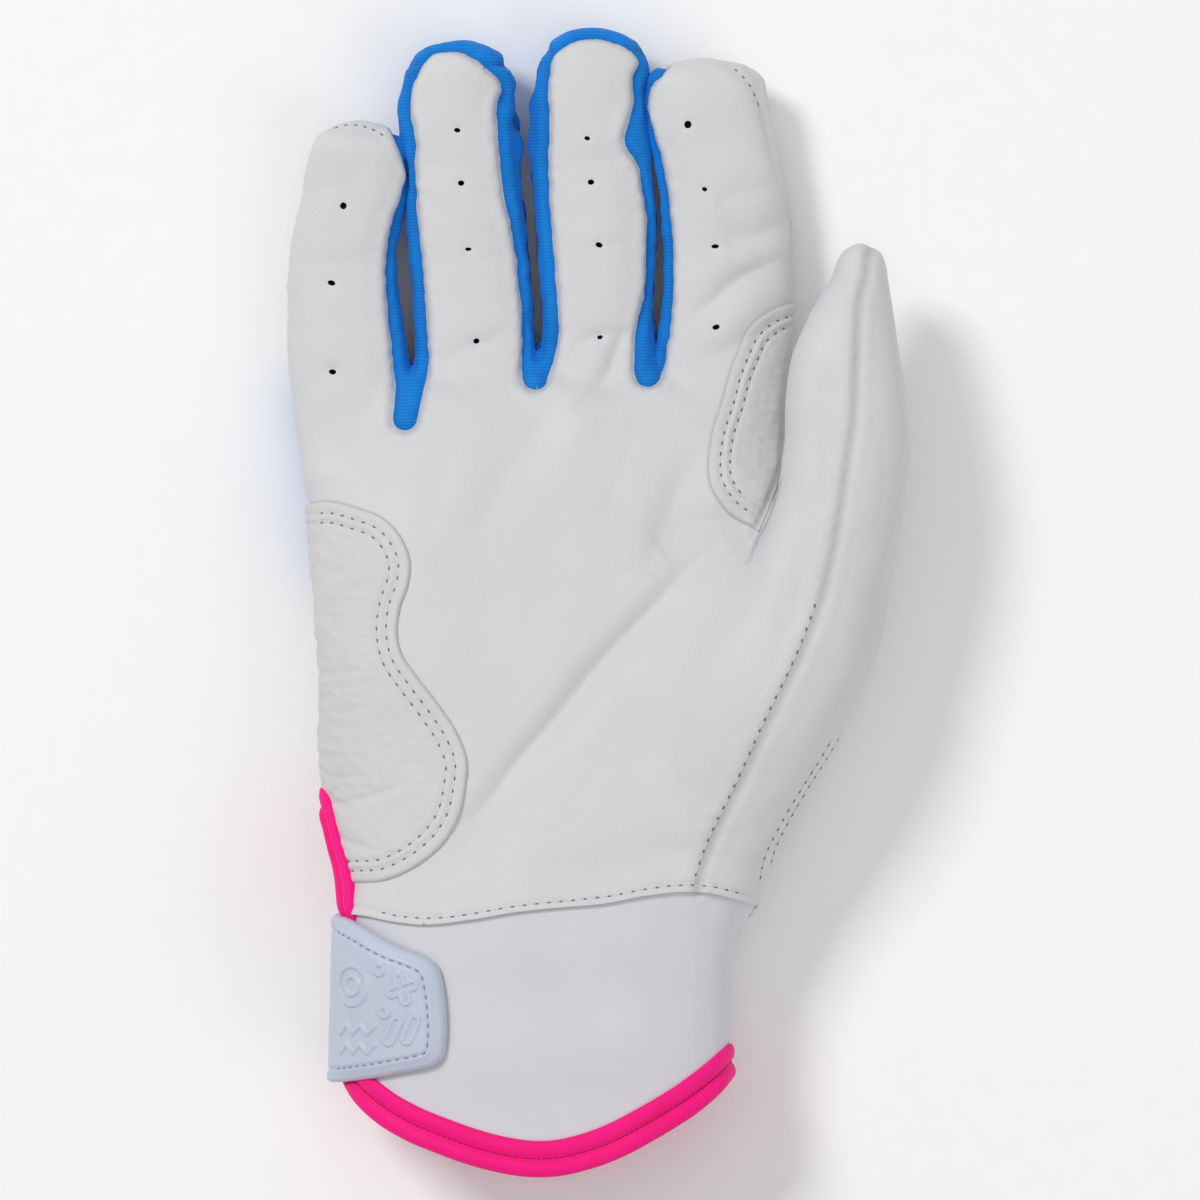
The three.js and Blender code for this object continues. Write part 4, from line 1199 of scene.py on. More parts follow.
def leather(name, light, dark, cell, wrinkle, rough):
    made, tree, shader, mm = new_material(name, rough, 0.35, 0.06)
    cloud = add(tree, "ShaderNodeTexNoise", {"Vector": mm, "Scale": 1 / CLOUD_SIZE, "Detail": 3.0})
    seam = add(tree, "ShaderNodeAttribute", attribute_name="seam")
    # painted shade: the leather greys towards a seam and into the crease
    painted_shade = add(tree, "ShaderNodeMapRange", {
        0: seam.outputs["Fac"], 1: 0.0, 2: SHADE_REACH, 3: SEAM_SHADE_SHARE, 4: 0.0,
    })
    tone = add(tree, "ShaderNodeMix", {
        "Factor": cloud.outputs["Fac"], "A": linear(dark), "B": linear(light),
    }, data_type="RGBA")
    shaded_tone = add(tree, "ShaderNodeMix", {
        "Factor": painted_shade.outputs[0], "A": tone.outputs["Result"], "B": linear(SEAM_SHADE),
    }, data_type="RGBA")
    tree.links.new(shaded_tone.outputs["Result"], shader.inputs["Base Color"])
    warp = add(tree, "ShaderNodeTexNoise", {"Vector": mm, "Scale": 1 / WARP_SIZE, "Detail": 2.0})
    bent = add(tree, "ShaderNodeVectorMath", {
        0: warp.outputs["Color"], 1: (1.2, 1.2, 1.2), 2: mm,
    }, operation="MULTIPLY_ADD").outputs[0]
    grain = add(tree, "ShaderNodeTexVoronoi", {
        "Vector": bent, "Scale": 1 / cell,
    }, feature="SMOOTH_F1")
    pore = add(tree, "ShaderNodeTexNoise", {
        "Vector": mm, "Scale": 1 / PORE_SIZE, "Detail": 4.0, "Roughness": 0.6,
    })
    crinkle = add(tree, "ShaderNodeTexNoise", {
        "Vector": bent, "Scale": 1 / CRINKLE_SIZE, "Detail": 5.0, "Roughness": 0.62,
        "Distortion": 0.6,
    })
    fine = add(tree, "ShaderNodeBump", {
        "Height": grain.outputs["Distance"], "Strength": 0.5, "Distance": GRAIN_DEPTH * MM,
    })
    soft = add(tree, "ShaderNodeBump", {
        "Height": pore.outputs["Fac"], "Strength": 0.5, "Distance": PORE_DEPTH * MM,
        "Normal": fine.outputs[0],
    })
    last = add(tree, "ShaderNodeBump", {
        "Height": crinkle.outputs["Fac"], "Strength": wrinkle, "Distance": CRINKLE_DEPTH * MM,
        "Normal": soft.outputs[0],
    })
    tree.links.new(last.outputs[0], shader.inputs["Normal"])
    return made


sheepskin = leather("white_sheepskin", "#DADADC", "#D1D1D4", 0.45, 0.14, 0.58)
patch_leather = leather("pebbled_patch_leather", "#D9D8D8", "#CDCBCA", 0.8, 0.4, 0.6)


# %% [markdown]
# Knitted and woven materials
#
# The sides of the fingers are a thin stretch knit, the edge tape is a ribbed stretch tape and
# the cuff is a smooth foam-backed knit. Their threads are finer than a pixel, so the
# ribs are drawn about twice as coarse as they are, or they would not show at all.

# %% Stretch knit, tape and cuff fabric
BLOTCH_SIZE, STITCH_SIZE = 18, 1 / 3
# Near a seam the knit is in shade, by this share
DIP_REACH, DIP_SHARE = 1.3, 0.5


def knit(name, light, dark, rib, along, depth, rough, sheen):
    made, tree, shader, mm = new_material(name, rough, 0.25, sheen)
    ribs = add(tree, "ShaderNodeTexWave", {
        "Vector": mm, "Scale": 1 / (rib * math.pi), "Distortion": 1.2, "Detail": 2.0,
    }, bands_direction=along)
    stitchy = add(tree, "ShaderNodeTexNoise", {
        "Vector": mm, "Scale": 1 / STITCH_SIZE, "Detail": 2.0,
    })
    cloud = add(tree, "ShaderNodeTexNoise", {
        "Vector": mm, "Scale": 1 / BLOTCH_SIZE, "Detail": 2.0,
    })
    blend = add(tree, "ShaderNodeMath", {
        0: ribs.outputs["Fac"], 1: 0.35, 2: cloud.outputs["Fac"],
    }, operation="MULTIPLY_ADD")
    seam = add(tree, "ShaderNodeAttribute", attribute_name="seam")
    dip = add(tree, "ShaderNodeMapRange", {
        0: seam.outputs["Fac"], 1: 0.0, 2: DIP_REACH, 3: DIP_SHARE, 4: 0.0,
    })
    tone = add(tree, "ShaderNodeMix", {
        "Factor": blend.outputs[0], "A": linear(dark), "B": linear(light),
    }, data_type="RGBA")
    shadowed = add(tree, "ShaderNodeMix", {
        "Factor": dip.outputs[0], "A": tone.outputs["Result"], "B": linear(dark),
    }, data_type="RGBA")
    tree.links.new(shadowed.outputs["Result"], shader.inputs["Base Color"])
    first = add(tree, "ShaderNodeBump", {
        "Height": ribs.outputs["Fac"], "Strength": 0.6, "Distance": depth * MM,
    })
    second = add(tree, "ShaderNodeBump", {
        "Height": stitchy.outputs["Fac"], "Strength": 0.5, "Distance": depth * MM,
        "Normal": first.outputs[0],
    })
    tree.links.new(second.outputs[0], shader.inputs["Normal"])
    return made


blue_knit = knit("blue_stretch_knit", "#0889E4", "#045BB0", 0.7, "Y", 0.08, 0.8, 0.06)
pink_tape = knit("pink_stretch_tape", "#FF0E8C", "#F6006C", 0.6, "X", 0.05, 0.65, 0.03)
cuff_knit = knit("foam_backed_cuff_knit", "#D8D7DD", "#CFCED5", 0.5, "Y", 0.015, 0.62, 0.05)

# %% [markdown]
# Rubber, webbing, nylon and thread
#
# The tab is injection moulded in soft rubber, so it has a fine even spark-eroded grain from
# its mould and a satin sheen. The strap is woven elastic, the pads are nylon, and all seams
# are sewn with a twisted polyester thread. The grey dash where it goes in is painted shade.

# %% Small plain materials
def plain(name, light, dark, grain, depth, rough, spot, sheen=0.0):
    """An even material: a soft cloud of two colours and a grain of one size in millimetres."""
    made, tree, shader, mm = new_material(name, rough, spot, sheen)
    cloud = add(tree, "ShaderNodeTexNoise", {"Vector": mm, "Scale": 1 / 8, "Detail": 3.0})
    tone = add(tree, "ShaderNodeMix", {
        "Factor": cloud.outputs["Fac"], "A": linear(dark), "B": linear(light),
    }, data_type="RGBA")
    tree.links.new(tone.outputs["Result"], shader.inputs["Base Color"])
    fine = add(tree, "ShaderNodeTexNoise", {"Vector": mm, "Scale": 1 / grain, "Detail": 2.0})
    bump = add(tree, "ShaderNodeBump", {
        "Height": fine.outputs["Fac"], "Strength": 0.5, "Distance": depth * MM,
    })
    tree.links.new(bump.outputs[0], shader.inputs["Normal"])
    return made


tab_rubber = plain("moulded_soft_rubber", "#C6CDDD", "#BDC5D6", 0.35, 0.012, 0.46, 0.45)
strap_elastic = plain("woven_elastic_webbing", "#D9D8DE", "#CBCAD2", 0.3, 0.05, 0.75, 0.2, 0.1)
nylon = plain("hook_and_loop_nylon", "#DCDCE1", "#CCCCD2", 0.25, 0.03, 0.55, 0.4)
grey_thread = plain("polyester_thread_white", "#D6D6D9", "#CBCBCF", 0.15, 0.03, 0.6, 0.3)
# painted shade: dark grey dashes that stand in for the shadow in the needle holes
needle_hole_shade = plain("painted_needle_hole_shade", "#7B7B82", "#6C6C74", 0.2, 0.01, 0.9, 0.1)
blue_thread = plain("polyester_thread_blue_grey", "#8E9ABA", "#818DB0", 0.15, 0.03, 0.6, 0.3)
pink_thread = plain("polyester_thread_dark_pink", "#9C1556", "#861049", 0.15, 0.03, 0.6, 0.3)

# %% [markdown]
# Every piece of the skin
#
# The pieces of the hand and the cuff are now cut, thickened and laid down. Leather that runs
# over the cuff is lifted by its own thickness, and its turned edge is a little fuller.

# %% Make the skin's pieces
# The hem of the leather: how far it stands off the cuff, its fuller edge and its sewn groove
LEATHER_STAND, HEM_BEAD, HEM_GROOVE = 1.0, 0.35, 0.4
# Points closer than this are one
MERGE = 0.06
# Material, slot and thickness, and the pieces that are cut from it
CLOTHS = [
    (sheepskin, "white_leather", 0.95, [
        "palm_leather", "thumb_outer", "back_little", "back_index", "back_leather",
    ]),
    (blue_knit, "blue_stretch", 0.8, [
        "gusset_little_ring", "gusset_ring_middle", "gusset_middle_index", "back_ring",
        "back_middle", "knuckle_panel",
    ]),
    (cuff_knit, "elastic", 0.8, ["wrist_elastic"]),
    (cuff_knit, "cuff_fabric", 1.1, ["cuff_palm", "cuff_back"]),
]
FINISHES = {name: finish for *finish, names in CLOTHS for name in names}


def hem_of_leather(rows):
    """How far the leather stands off the cuff near its turned lower edge."""
    up = field(rows, "hand_lap")
    at_side = hump(field(rows, "palm_side"), 4)
    stand = LEATHER_STAND * smooth_step(9, 1.5, up) * (1 - 0.6 * at_side)
    bead = HEM_BEAD * hump(up - 0.6, 0.7)
    groove = -HEM_GROOVE * hump(up - 1.7, 0.5)
    return (stand + bead + groove) * smooth_step(0.2, 3, field(rows, "clear_of_slit"))


pieces = {}
for name, bounds in PIECES.items():
    material, slot, thickness = FINISHES[name]
    rows, tri = cut_piece(bounds)
    if name == "palm_leather":
        rows, tri = punch(rows, tri)
    co = rows[:, SHAPED].copy()
    gap = rows[:, SEAM_GAP]
    if name == "palm_leather":
        pressed = crease(rows)
        co[:, 2] -= pressed + dents(rows)
        # the crease's foot gets painted shade, as a seam does
        gap = np.minimum(gap, SHADE_REACH * (1 - (pressed / CREASE_DEPTH) ** 2))
    if "hand_lap" in bounds:
        co += rows[:, NORMAL] * hem_of_leather(rows)[:, None]
        co[:, 2] = np.maximum(co[:, 2], 0)
    made = new_object(name + "_skin", co, tri.tolist())
    keep_seam(made, gap)
    edit(made, merge=MERGE, outward=False)
    made.data.materials.append(material)
    thicken(made, thickness)
    shade(made)
    pieces[name] = finish_piece(made, name)
    print(made.name, len(made.data.polygons), "faces")

# %% [markdown]
# Patches
#
# Two patches of a rougher leather are sewn where a bat rubs: one on the heel of the hand and
# one beside the base of the index finger. A patch follows the skin below it, so it is cut
# from a copy of that skin, lifted by its thickness. Its edge is a raw cut, slightly rounded,
# and two rows of stitches pull it down.

# %% Outlines of the patches
HEEL_OUTLINE = [
    (-61.5, 20.3), (-58.2, 20.9), (-50.8, 19.4), (-44.7, 16.7), (-41, 12.1), (-39.7, 8.3),
    (-40.1, 3), (-41.6, -1.4), (-42.2, -6.4), (-41.4, -10.8), (-38, -16.1), (-33.4, -22.2),
    (-29.8, -27.8), (-27.7, -33.5), (-28.1, -39.6), (-29.4, -45.3), (-32.3, -50.3),
    (-35.7, -53.7), (-40.7, -57), (-44.7, -58.7), (-50.8, -59.3), (-58, -59.3),
]
CROTCH_OUTLINE = [
    (43, 63.2), (39.9, 62.5), (35.7, 60.8), (30.9, 56.6), (29, 52.6), (27.1, 47.8), (25.6, 42.1),
    (23.5, 35.4), (22.7, 28.5), (23.1, 24.7), (25, 20.9), (27.1, 18.4), (31.5, 15.4), (37, 12),
]
ROWS_INSIDE = (2.6, 4.6)
# A patch's lift off the palm, the share of it that its rounded edge starts with, and its
# thickness
PATCH_LIFT, EDGE_SHARE, PATCH_THICKNESS = 0.95, 0.25, 0.8
# Its sewn rows sink by one depth, with a low ridge between them
ROW_DEPTH, RIDGE = 0.28, 0.12
# It ends this far from the side seam and from the slit, and lies this low at a sunk line
OFF_SIDE, OFF_SLIT, SUNK_LIFT = 0.2, 0.4, 0.2


def patch_piece(node, outline, beyond, wrinkle, limit, sunk=False):
    """A patch cut from a copy of the skin inside an outline and short of another line.

    A sunk patch lies lower and lower towards that line.
    """
    smooth = np.concatenate([curve_through(outline, OUTLINE_STEPS), beyond])
    rows, tri = clip(skin_rows, skin_faces, inside_distance(smooth, skin_rows) + 1)
    rows, tri = refine(rows, tri, np.ones(len(rows), bool))
    rows, tri = clip(rows, tri, inside_distance(smooth, rows))
    rows, tri = clip(rows, tri, field(rows, "palm_side") - OFF_SIDE)
    rows, tri = clip(rows, tri, limit(rows))
    rows, tri = main_island(rows, tri)
    inside = inside_distance(smooth, rows)
    rounded = np.clip(inside / 0.7, 0, 1) ** 0.5
    height = PATCH_LIFT * (EDGE_SHARE + (1 - EDGE_SHARE) * rounded)
    for line in ROWS_INSIDE:
        height -= ROW_DEPTH * hump(inside - line, 0.55)
    height += RIDGE * hump(inside - sum(ROWS_INSIDE) / 2, 0.5)
    height += wrinkle(rows) * smooth_step(3.5, 7, inside)
    height += 0.05 * ripples(rows[:, :3], 2.4, 31) * smooth_step(0, 2, inside)
    if sunk:
        height = SUNK_LIFT + (height - SUNK_LIFT) * smooth_step(0, 2, limit(rows))
    co = rows[:, SHAPED] + rows[:, NORMAL] * height[:, None]
    made = new_object(node + "_leather", co, tri.tolist())
    # the rounded edge of the patch gets the same painted shade as a seam
    keep_seam(made, np.maximum(inside * 3, 0.5))
    edit(made, merge=0.05, outward=False)
    made.data.materials.append(patch_leather)
    thicken(made, PATCH_THICKNESS)
    shade(made)
    print(made.name, len(made.data.polygons), "faces")
    return finish_piece(made, node)


def heel_wrinkles(rows):
    """Fine creases that run across the heel of the hand, and two deeper ones."""
    squeezed = rows[:, :3] * (0.45, 1.2, 0.6)
    fine = -np.abs(ripples(squeezed, 5.5, 32)) * (0.05 + 0.11 * smooth_step(-44, -56, rows[:, 0]))
    for path, depth in (
        ([(-57, -42.5), (-51, -42.2), (-46.5, -40.9), (-38, -37.6)], 0.42),
        ([(-58, -36), (-53, -37.2), (-47, -36.2)], 0.3),
        ([(-56.5, -47), (-52, -50.5), (-46, -52.5)], 0.3),
        ([(-57.5, -40), (-53, -43.5), (-49.5, -45.5)], 0.26),
        ([(-60, 1), (-55.5, 5), (-50, 9)], 0.16),
        ([(-60, -14), (-54, -15.5), (-49, -14)], 0.16),
    ):
        across, share, _ = stroke(rows, path)
        fine -= depth * hump(across, 0.9) * np.sin(math.pi * np.clip(share, 0, 1))
    return fine


def crotch_wrinkles(rows):
    squeezed = rows[:, :3] * (1.1, 0.6, 0.6)
    return -np.abs(ripples(squeezed, 6, 34)) * 0.09


# The line where the thumb stands in front of the palm: height, and place across
THUMB_CREASE = [
    (7, 30.2), (10.2, 31.2), (16.1, 33.8), (19.6, 35.3), (23.6, 36.9), (28.5, 38.4),
    (42, 38.8), (47, 39.4), (53, 40.6), (63, 42.5),
]


def clear_of_slit(rows):
    return field(rows, "clear_of_slit") - OFF_SLIT


def left_of_thumb(rows):
    return read(THUMB_CREASE, rows[:, 1]) - rows[:, 0]


heel = patch_piece(
    "heel_patch", HEEL_OUTLINE, [(-90, -59.3), (-90, 20.3)], heel_wrinkles, clear_of_slit,
)
crotch = patch_piece(
    "crotch_patch", CROTCH_OUTLINE, [(60, 12), (60, 63.2)], crotch_wrinkles, left_of_thumb,
    sunk=True,
)

# %% [markdown]
# Bound edges
#
# A stretch tape is folded over the raw edge of the cuff and of the slit at its side, and one
# row of stitches in its middle leaves two soft beads. A tape is swept along its edge: at each
# point of the path a profile is laid, and its points are dropped onto the skin.

# %% The skin as a surface to lay things on
surface = BVHTree.FromPolygons([Vector(p) for p in shaped], skin_faces.tolist())
shaped_normals = normals_of(shaped, skin_faces)


def on_skin(point):
    """Nearest place on the skin and its smooth normal."""
    place, _, face, _ = surface.find_nearest(Vector(point))
    corners = shaped[skin_faces[face]]
    weight = 1 / (np.linalg.norm(corners - np.array(place), axis=1) + 0.05)
    normal = (shaped_normals[skin_faces[face]] * weight[:, None]).sum(0)
    return np.array(place), normal / np.linalg.norm(normal)


def read_path(at, s, path):
    """A path's points at new lengths along it."""
    return np.stack([np.interp(at, s, path[:, k]) for k in range(3)], 1)


def evenly(path, step):
    """The path again with even steps."""
    path = np.array(path, float)
    s = lengths_along(path)
    count = max(2, round(s[-1] / step))
    return read_path(np.linspace(0, s[-1], count + 1), s, path)


def neighbours(rows):
    """The row before each row and the row after it; an end is its own neighbour."""
    return np.concatenate([rows[:1], rows[:-1]]), np.concatenate([rows[1:], rows[-1:]])


def eased(rows, times):
    """A path, or normals along it, averaged with its neighbours."""
    for _ in range(times):
        before, after = neighbours(rows)
        rows = (before + 2 * rows + after) / 4
    return rows


def unit(rows):
    return rows / np.linalg.norm(rows, axis=-1)[..., None]


# %% Sweep a tape along an edge
TAPE_STEP = 0.6
# The sewn groove between the beads: how far it lies from the edge, and its profile point
GROOVE_U, GROOVE_POINT = 2.75, 7
# Profile points on the middles of the two beads, and one inside
BEAD_POINTS, INNER_POINT = (3, 11), 22
# The tape is fuller in places, by this share, over this length
FULLER, FULLER_LENGTH = 0.1, 30
# across the tape: from its upper edge over two beads, round the nose and back inside
TAPE_PROFILE = [
    (6.4, 0.03), (6.5, 0.45), (6.15, 0.9), (5.4, 1.2), (4.5, 1.25), (3.6, 1.05), (3.0, 0.62),
    (2.75, 0.5), (2.5, 0.62), (1.9, 1.15), (1.1, 1.42), (0.2, 1.42), (-0.6, 1.1), (-1.1, 0.45),
    (-1.2, -0.4), (-0.95, -1.3), (-0.2, -1.85), (1.2, -2.05), (4.5, -2.0), (6.0, -1.85),
    (6.3, -1.5), (6.2, -1.15), (0.25, -1.15), (0.25, 0.03),
]


def tape(name, path, off_edge, stand, seed):
    """A folded tape along an edge. off_edge points away from the material at each point.

    stand is how far the outer leaf is pushed out by what lies under it.
    """
    width = len(TAPE_PROFILE)
    grid = np.zeros((len(path), width, 3))
    full = 1 + FULLER * ripples(path, FULLER_LENGTH, seed)
    for k, (u, v) in enumerate(TAPE_PROFILE):
        outer = v > 0.1
        for j, point in enumerate(path):
            base, normal = on_skin(point - max(u, 0) * off_edge[j])
            if u < 0:
                base = base - u * off_edge[j]
            grid[j, k] = base + normal * (v * full[j] + stand[j] if outer else v)
        grid[:, k] = eased(grid[:, k], 3)
    index = np.arange(len(path) * width).reshape(-1, width)
    after = np.roll(index, -1, 1)
    quads = np.stack([index[:-1], after[:-1], after[1:], index[1:]], -1).reshape(-1, 4)
    faces = quads.tolist() + index[[0, -1]].tolist()
    made = new_object(name, grid.reshape(-1, 3), faces)
    off_groove = [abs(u - GROOVE_U) + 0.2 if v > 0 else 3 for u, v in TAPE_PROFILE]
    keep_seam(made, np.tile(off_groove, len(path)))
    edit(made, merge=0.01)
    made.data.materials.append(pink_tape)
    shade(made, 60)
    print(name, len(faces), "faces")
    return made, grid


# %% The hem tape and the slit tape
cuff_middle, cuff_half = (CUFF_LEFT + CUFF_RIGHT) / 2, (CUFF_RIGHT - CUFF_LEFT) / 2
cuff_low, cuff_high = (HAND_DEPTH * share for share in HAND_SHARES[0][3:])
cuff_z, cuff_deep = (cuff_low + cuff_high) / 2, (cuff_high - cuff_low) / 2


def cuff_ring(angle, y, out=0.0):
    """A point round the cuff; angle 0 is the thumb side and a quarter turn is the palm."""
    c, s = np.cos(angle), np.sin(angle)
    power = 2 / HAND_SQUARENESS
    across = np.sign(c) * np.abs(c) ** power * (cuff_half + out)
    up = np.sign(s) * np.abs(s) ** power * (cuff_deep + out)
    return np.stack([cuff_middle + across, y + 0 * across, cuff_z + up], -1)


# The hem runs from the slit's palm edge over the palm and round the back to its other edge.
HEM_END = math.pi * 0.985
ring = cuff_ring(np.linspace(HEM_END, -HEM_END, 400), 0)
ring[:, 1] = hem_line(ring[:, 0]) + TAPE_NOSE
hem_path = np.array([on_skin(p)[0] for p in evenly(ring, TAPE_STEP)])
hem_normals = eased(np.array([on_skin(p)[1] for p in hem_path]), 6)
hem_off = unit(np.cross(np.gradient(hem_path, axis=0), hem_normals))
hem_off *= np.sign(-hem_off[:, 1])[:, None]
hem_tape, hem_grid = tape("hem_tape", hem_path, hem_off, np.zeros(len(hem_path)), 41)
finish_piece(hem_tape, "edge_binding")

# The slit gapes by this near its top, where the tape turns round its end
SLIT_GAPE, GAPE_Y, GAPE_REACH = 2.2, -49, 7
# On the palm side the tape lies over the leather's hem
TAPE_STAND = 0.95
slit_half = SLIT_HALF + TAPE_NOSE
low_y = float(hem_line(np.array([CUFF_LEFT]))[0]) + 1.5
turn_y = SLIT_TOP - SLIT_HALF
bend = np.linspace(0, math.pi, 12)
flat_path = [(yy, slit_half) for yy in np.arange(low_y, turn_y, 1.0)]
flat_path += [(turn_y + slit_half * math.sin(a), slit_half * math.cos(a)) for a in bend]
flat_path += [(yy, -slit_half) for yy in np.arange(turn_y - 1, low_y, -1.0)]
slit_path = []
for yy, dz in flat_path:
    height = side_seam(np.array(yy)) + dz
    hit = surface.ray_cast(Vector((-120, yy, float(height))), Vector((1, 0, 0)))[0]
    slit_path.append(np.array(hit) - (SLIT_GAPE * hump(yy - GAPE_Y, GAPE_REACH), 0, 0))
slit_path = eased(evenly(slit_path, TAPE_STEP), 4)
slit_off = []
for point in slit_path:
    dz = point[2] - side_seam(point[1])
    dy = max(point[1] - turn_y, 0)
    slit_off.append(Vector((0, -dy, -dz)).normalized())
slit_off = eased(np.array(slit_off), 3)
on_palm = smooth_step(-1, 2, slit_path[:, 2] - side_seam(slit_path[:, 1]))
slit_stand = TAPE_STAND * on_palm * smooth_step(WRIST_Y - 1, WRIST_Y + 2, slit_path[:, 1])
slit_tape, slit_grid = tape("slit_tape", slit_path, slit_off, slit_stand, 42)
finish_piece(slit_tape, "edge_binding")

# %% [markdown]
# The wrist strap and its moulded tab
#
# An elastic strap is sewn to the back of the cuff and comes round the little-finger side. Its
# end carries a moulded rubber tab, which is pulled over the palm side and pressed down with
# hook and loop. Strap, tab and pads are thin sheets bent round the same cuff, so they are
# drawn flat first: one number goes round the cuff and the other goes along the arm.

# %% Lengths round the cuff
HINGE_Z = 20.3
MID_STRAP_OUT = 3.0

turns = np.linspace(math.pi + 2.7, math.pi / 2, 6000)
ring = cuff_ring(turns, 0, MID_STRAP_OUT)
lengths = lengths_along(ring)
at_side = turns < math.pi + 0.6
lengths -= np.interp(HINGE_Z, ring[at_side][:, 2], lengths[at_side])


def wrapped(s, y, out):
    """A point that lies s round the cuff from the hinge, and out from its wall."""
    return cuff_ring(np.interp(s, lengths, turns), y, out)


def round_to(x, out):
    """How far round the cuff a point of the palm side lies, from its place in the photograph."""
    s = np.linspace(0, lengths[-1], 2000)
    return np.interp(x, wrapped(s, 0, out)[:, 0], s)


def flat_grid(low, high, step):
    """Rows u, v and the triangles of a flat rectangle."""
    u = np.linspace(low[0], high[0], round((high[0] - low[0]) / step) + 1)
    v = np.linspace(low[1], high[1], round((high[1] - low[1]) / step) + 1)
    rows = np.stack(np.meshgrid(u, v), -1).reshape(-1, 2)
    index = np.arange(len(rows)).reshape(len(v), len(u))
    a, b, c, d = index[:-1, :-1], index[:-1, 1:], index[1:, 1:], index[1:, :-1]
    halves = [np.stack(corners, -1).reshape(-1, 3) for corners in ([a, b, c], [a, c, d])]
    return rows, np.concatenate(halves)


def thick_sheet(name, top, bottom, tri):
    """A closed sheet between two surfaces with the same triangles."""
    directed = np.concatenate([tri[:, [0, 1]], tri[:, [1, 2]], tri[:, [2, 0]]])
    _, index, count = np.unique(np.sort(directed, 1), axis=0, return_index=True, return_counts=True)
    rim, n = directed[index[count == 1]], len(top)
    walls = np.stack([rim[:, 1], rim[:, 0], rim[:, 0] + n, rim[:, 1] + n], 1)
    faces = tri.tolist() + (tri[:, ::-1] + n).tolist() + walls.tolist()
    return edit(new_object(name, np.concatenate([top, bottom]), faces), merge=0.01)


# %% The raised pattern of the tab
TAB_EDGE = [
    (-55.5, -66.4), (-50.7, -69), (-48, -70.5), (-43.8, -72.4), (-39.5, -73.9), (-36.9, -75.1),
    (-35.2, -77), (-34.4, -79.6), (-33.7, -84.4), (-33.4, -88.4), (-33.5, -92.5), (-34, -95),
    (-35.3, -96.6), (-38.1, -97.7), (-42.1, -98.5), (-48.8, -99.8), (-55.5, -101),
]
# The tab's two faces, out from the cuff's wall
TAB_OUT, TAB_LOW = 3.7, 1.8
# Its border's width, the border's lift over the panel, and the sewn groove between them
BORDER, BORDER_LIFT, GROOVE_DEPTH, GROOVE_WIDTH = 2.7, 0.15, 0.5, 0.32
# It flares towards its lower root, and its free edge bends down to the cuff past the pads
FLARE, DROOP, DROOP_WIDTH = 0.9, 1.4, 3.4
EDGE_ROUND, EDGE_DROP, ROOT_DROP = 0.8, 0.75, 0.35
LINE_HALF, LINE_LIFT = 0.4, 0.5


def near_line(rows, a, b):
    d = np.subtract(b, a)
    t = np.clip((rows - a) @ d / (d @ d), 0, 1)
    return np.linalg.norm(rows - a - t[:, None] * d, axis=1)


def near_ring(rows, middle, radius):
    return np.abs(np.linalg.norm(rows - middle, axis=1) - radius)


def near_path(rows, path):
    return np.min([near_line(rows, a, b) for a, b in zip(path[:-1], path[1:])], axis=0)


def bar(middle, half, tilt):
    c, s = half * math.cos(tilt), half * math.sin(tilt)
    return (middle[0] - c, middle[1] - s), (middle[0] + c, middle[1] + s)


def tab_bend(s, y, inside):
    """How far the tab stands out or bends down, at a distance inside its edge."""
    flare = FLARE * np.clip((-66 - y) / 35, 0, 1) * smooth_step(14, 4, s)
    return flare - DROOP * smooth_step(DROOP_WIDTH, 0, inside) * smooth_step(6, 12, s)


def motif(rows):
    """Distance to the nearest raised line: rings, a cross, slanted loops and two waves."""
    def at(x, y):
        return float(round_to(x, TAB_OUT)), y

    found = [near_ring(rows, at(-51.8, -80.6), 4.1), near_ring(rows, at(-51.8, -80.6), 1.9)]
    found += [near_ring(rows, at(-46, -77.1), 1.1), near_ring(rows, at(-45, -86), 1.0)]
    cross = at(-41.2, -81.1)
    arms = [near_line(rows, *bar(cross, 2.4, tilt)) for tilt in (0.35, 0.35 + math.pi / 2)]
    found.append(np.abs(np.min(arms, axis=0) - 0.85))
    for loop in (at(-39.4, -89.6), at(-43.2, -89.9)):
        found.append(np.abs(near_line(rows, *bar(loop, 2.0, 1.15)) - 1.0))
    for low in (-90.6, -94.6):
        start = at(-54, low)[0]
        found.append(near_path(rows, [(start + 1.9 * k, low + (1.9 if k % 2 else 0)) for k in range(6)]))
    return np.min(found, axis=0)


# %% The tab
edge = np.array([(float(round_to(px, TAB_OUT)), py) for px, py in TAB_EDGE])
free_edge = curve_through(edge, OUTLINE_STEPS)
tab_outline = np.concatenate([[(-14, -65.8)], free_edge, [(-14, -101.3)]])
rows, tri = flat_grid((0, -102), (edge[:, 0].max() + 0.5, -65), 0.25)
rows, tri = clip(rows, tri, inside_distance(tab_outline, rows))
inside = np.maximum(inside_distance(tab_outline, rows), 0)
s, y = rows.T
bent = tab_bend(s, y, inside)
panel = smooth_step(BORDER, BORDER + 0.5, inside)
top = TAB_OUT + bent + BORDER_LIFT * (1 - panel)
top -= GROOVE_DEPTH * hump(inside - BORDER, GROOVE_WIDTH)
raised = smooth_step(LINE_HALF + 0.22, LINE_HALF - 0.1, motif(rows))
top += LINE_LIFT * raised * smooth_step(BORDER + 0.3, BORDER + 0.9, inside)
top -= EDGE_DROP * (1 - np.clip(inside / EDGE_ROUND, 0, 1)) ** 2.2
top -= ROOT_DROP * smooth_step(1.2, 0, s)
tab = thick_sheet("closure_tab_rubber", wrapped(s, y, top), wrapped(s, y, TAB_LOW + bent), tri)
print(tab.name, len(tab.data.polygons), "faces")

# %% The strap behind it
STRAP_OUT, STRAP_LOW = 3.15, 1.5
STRAP_ROOT_X = 14
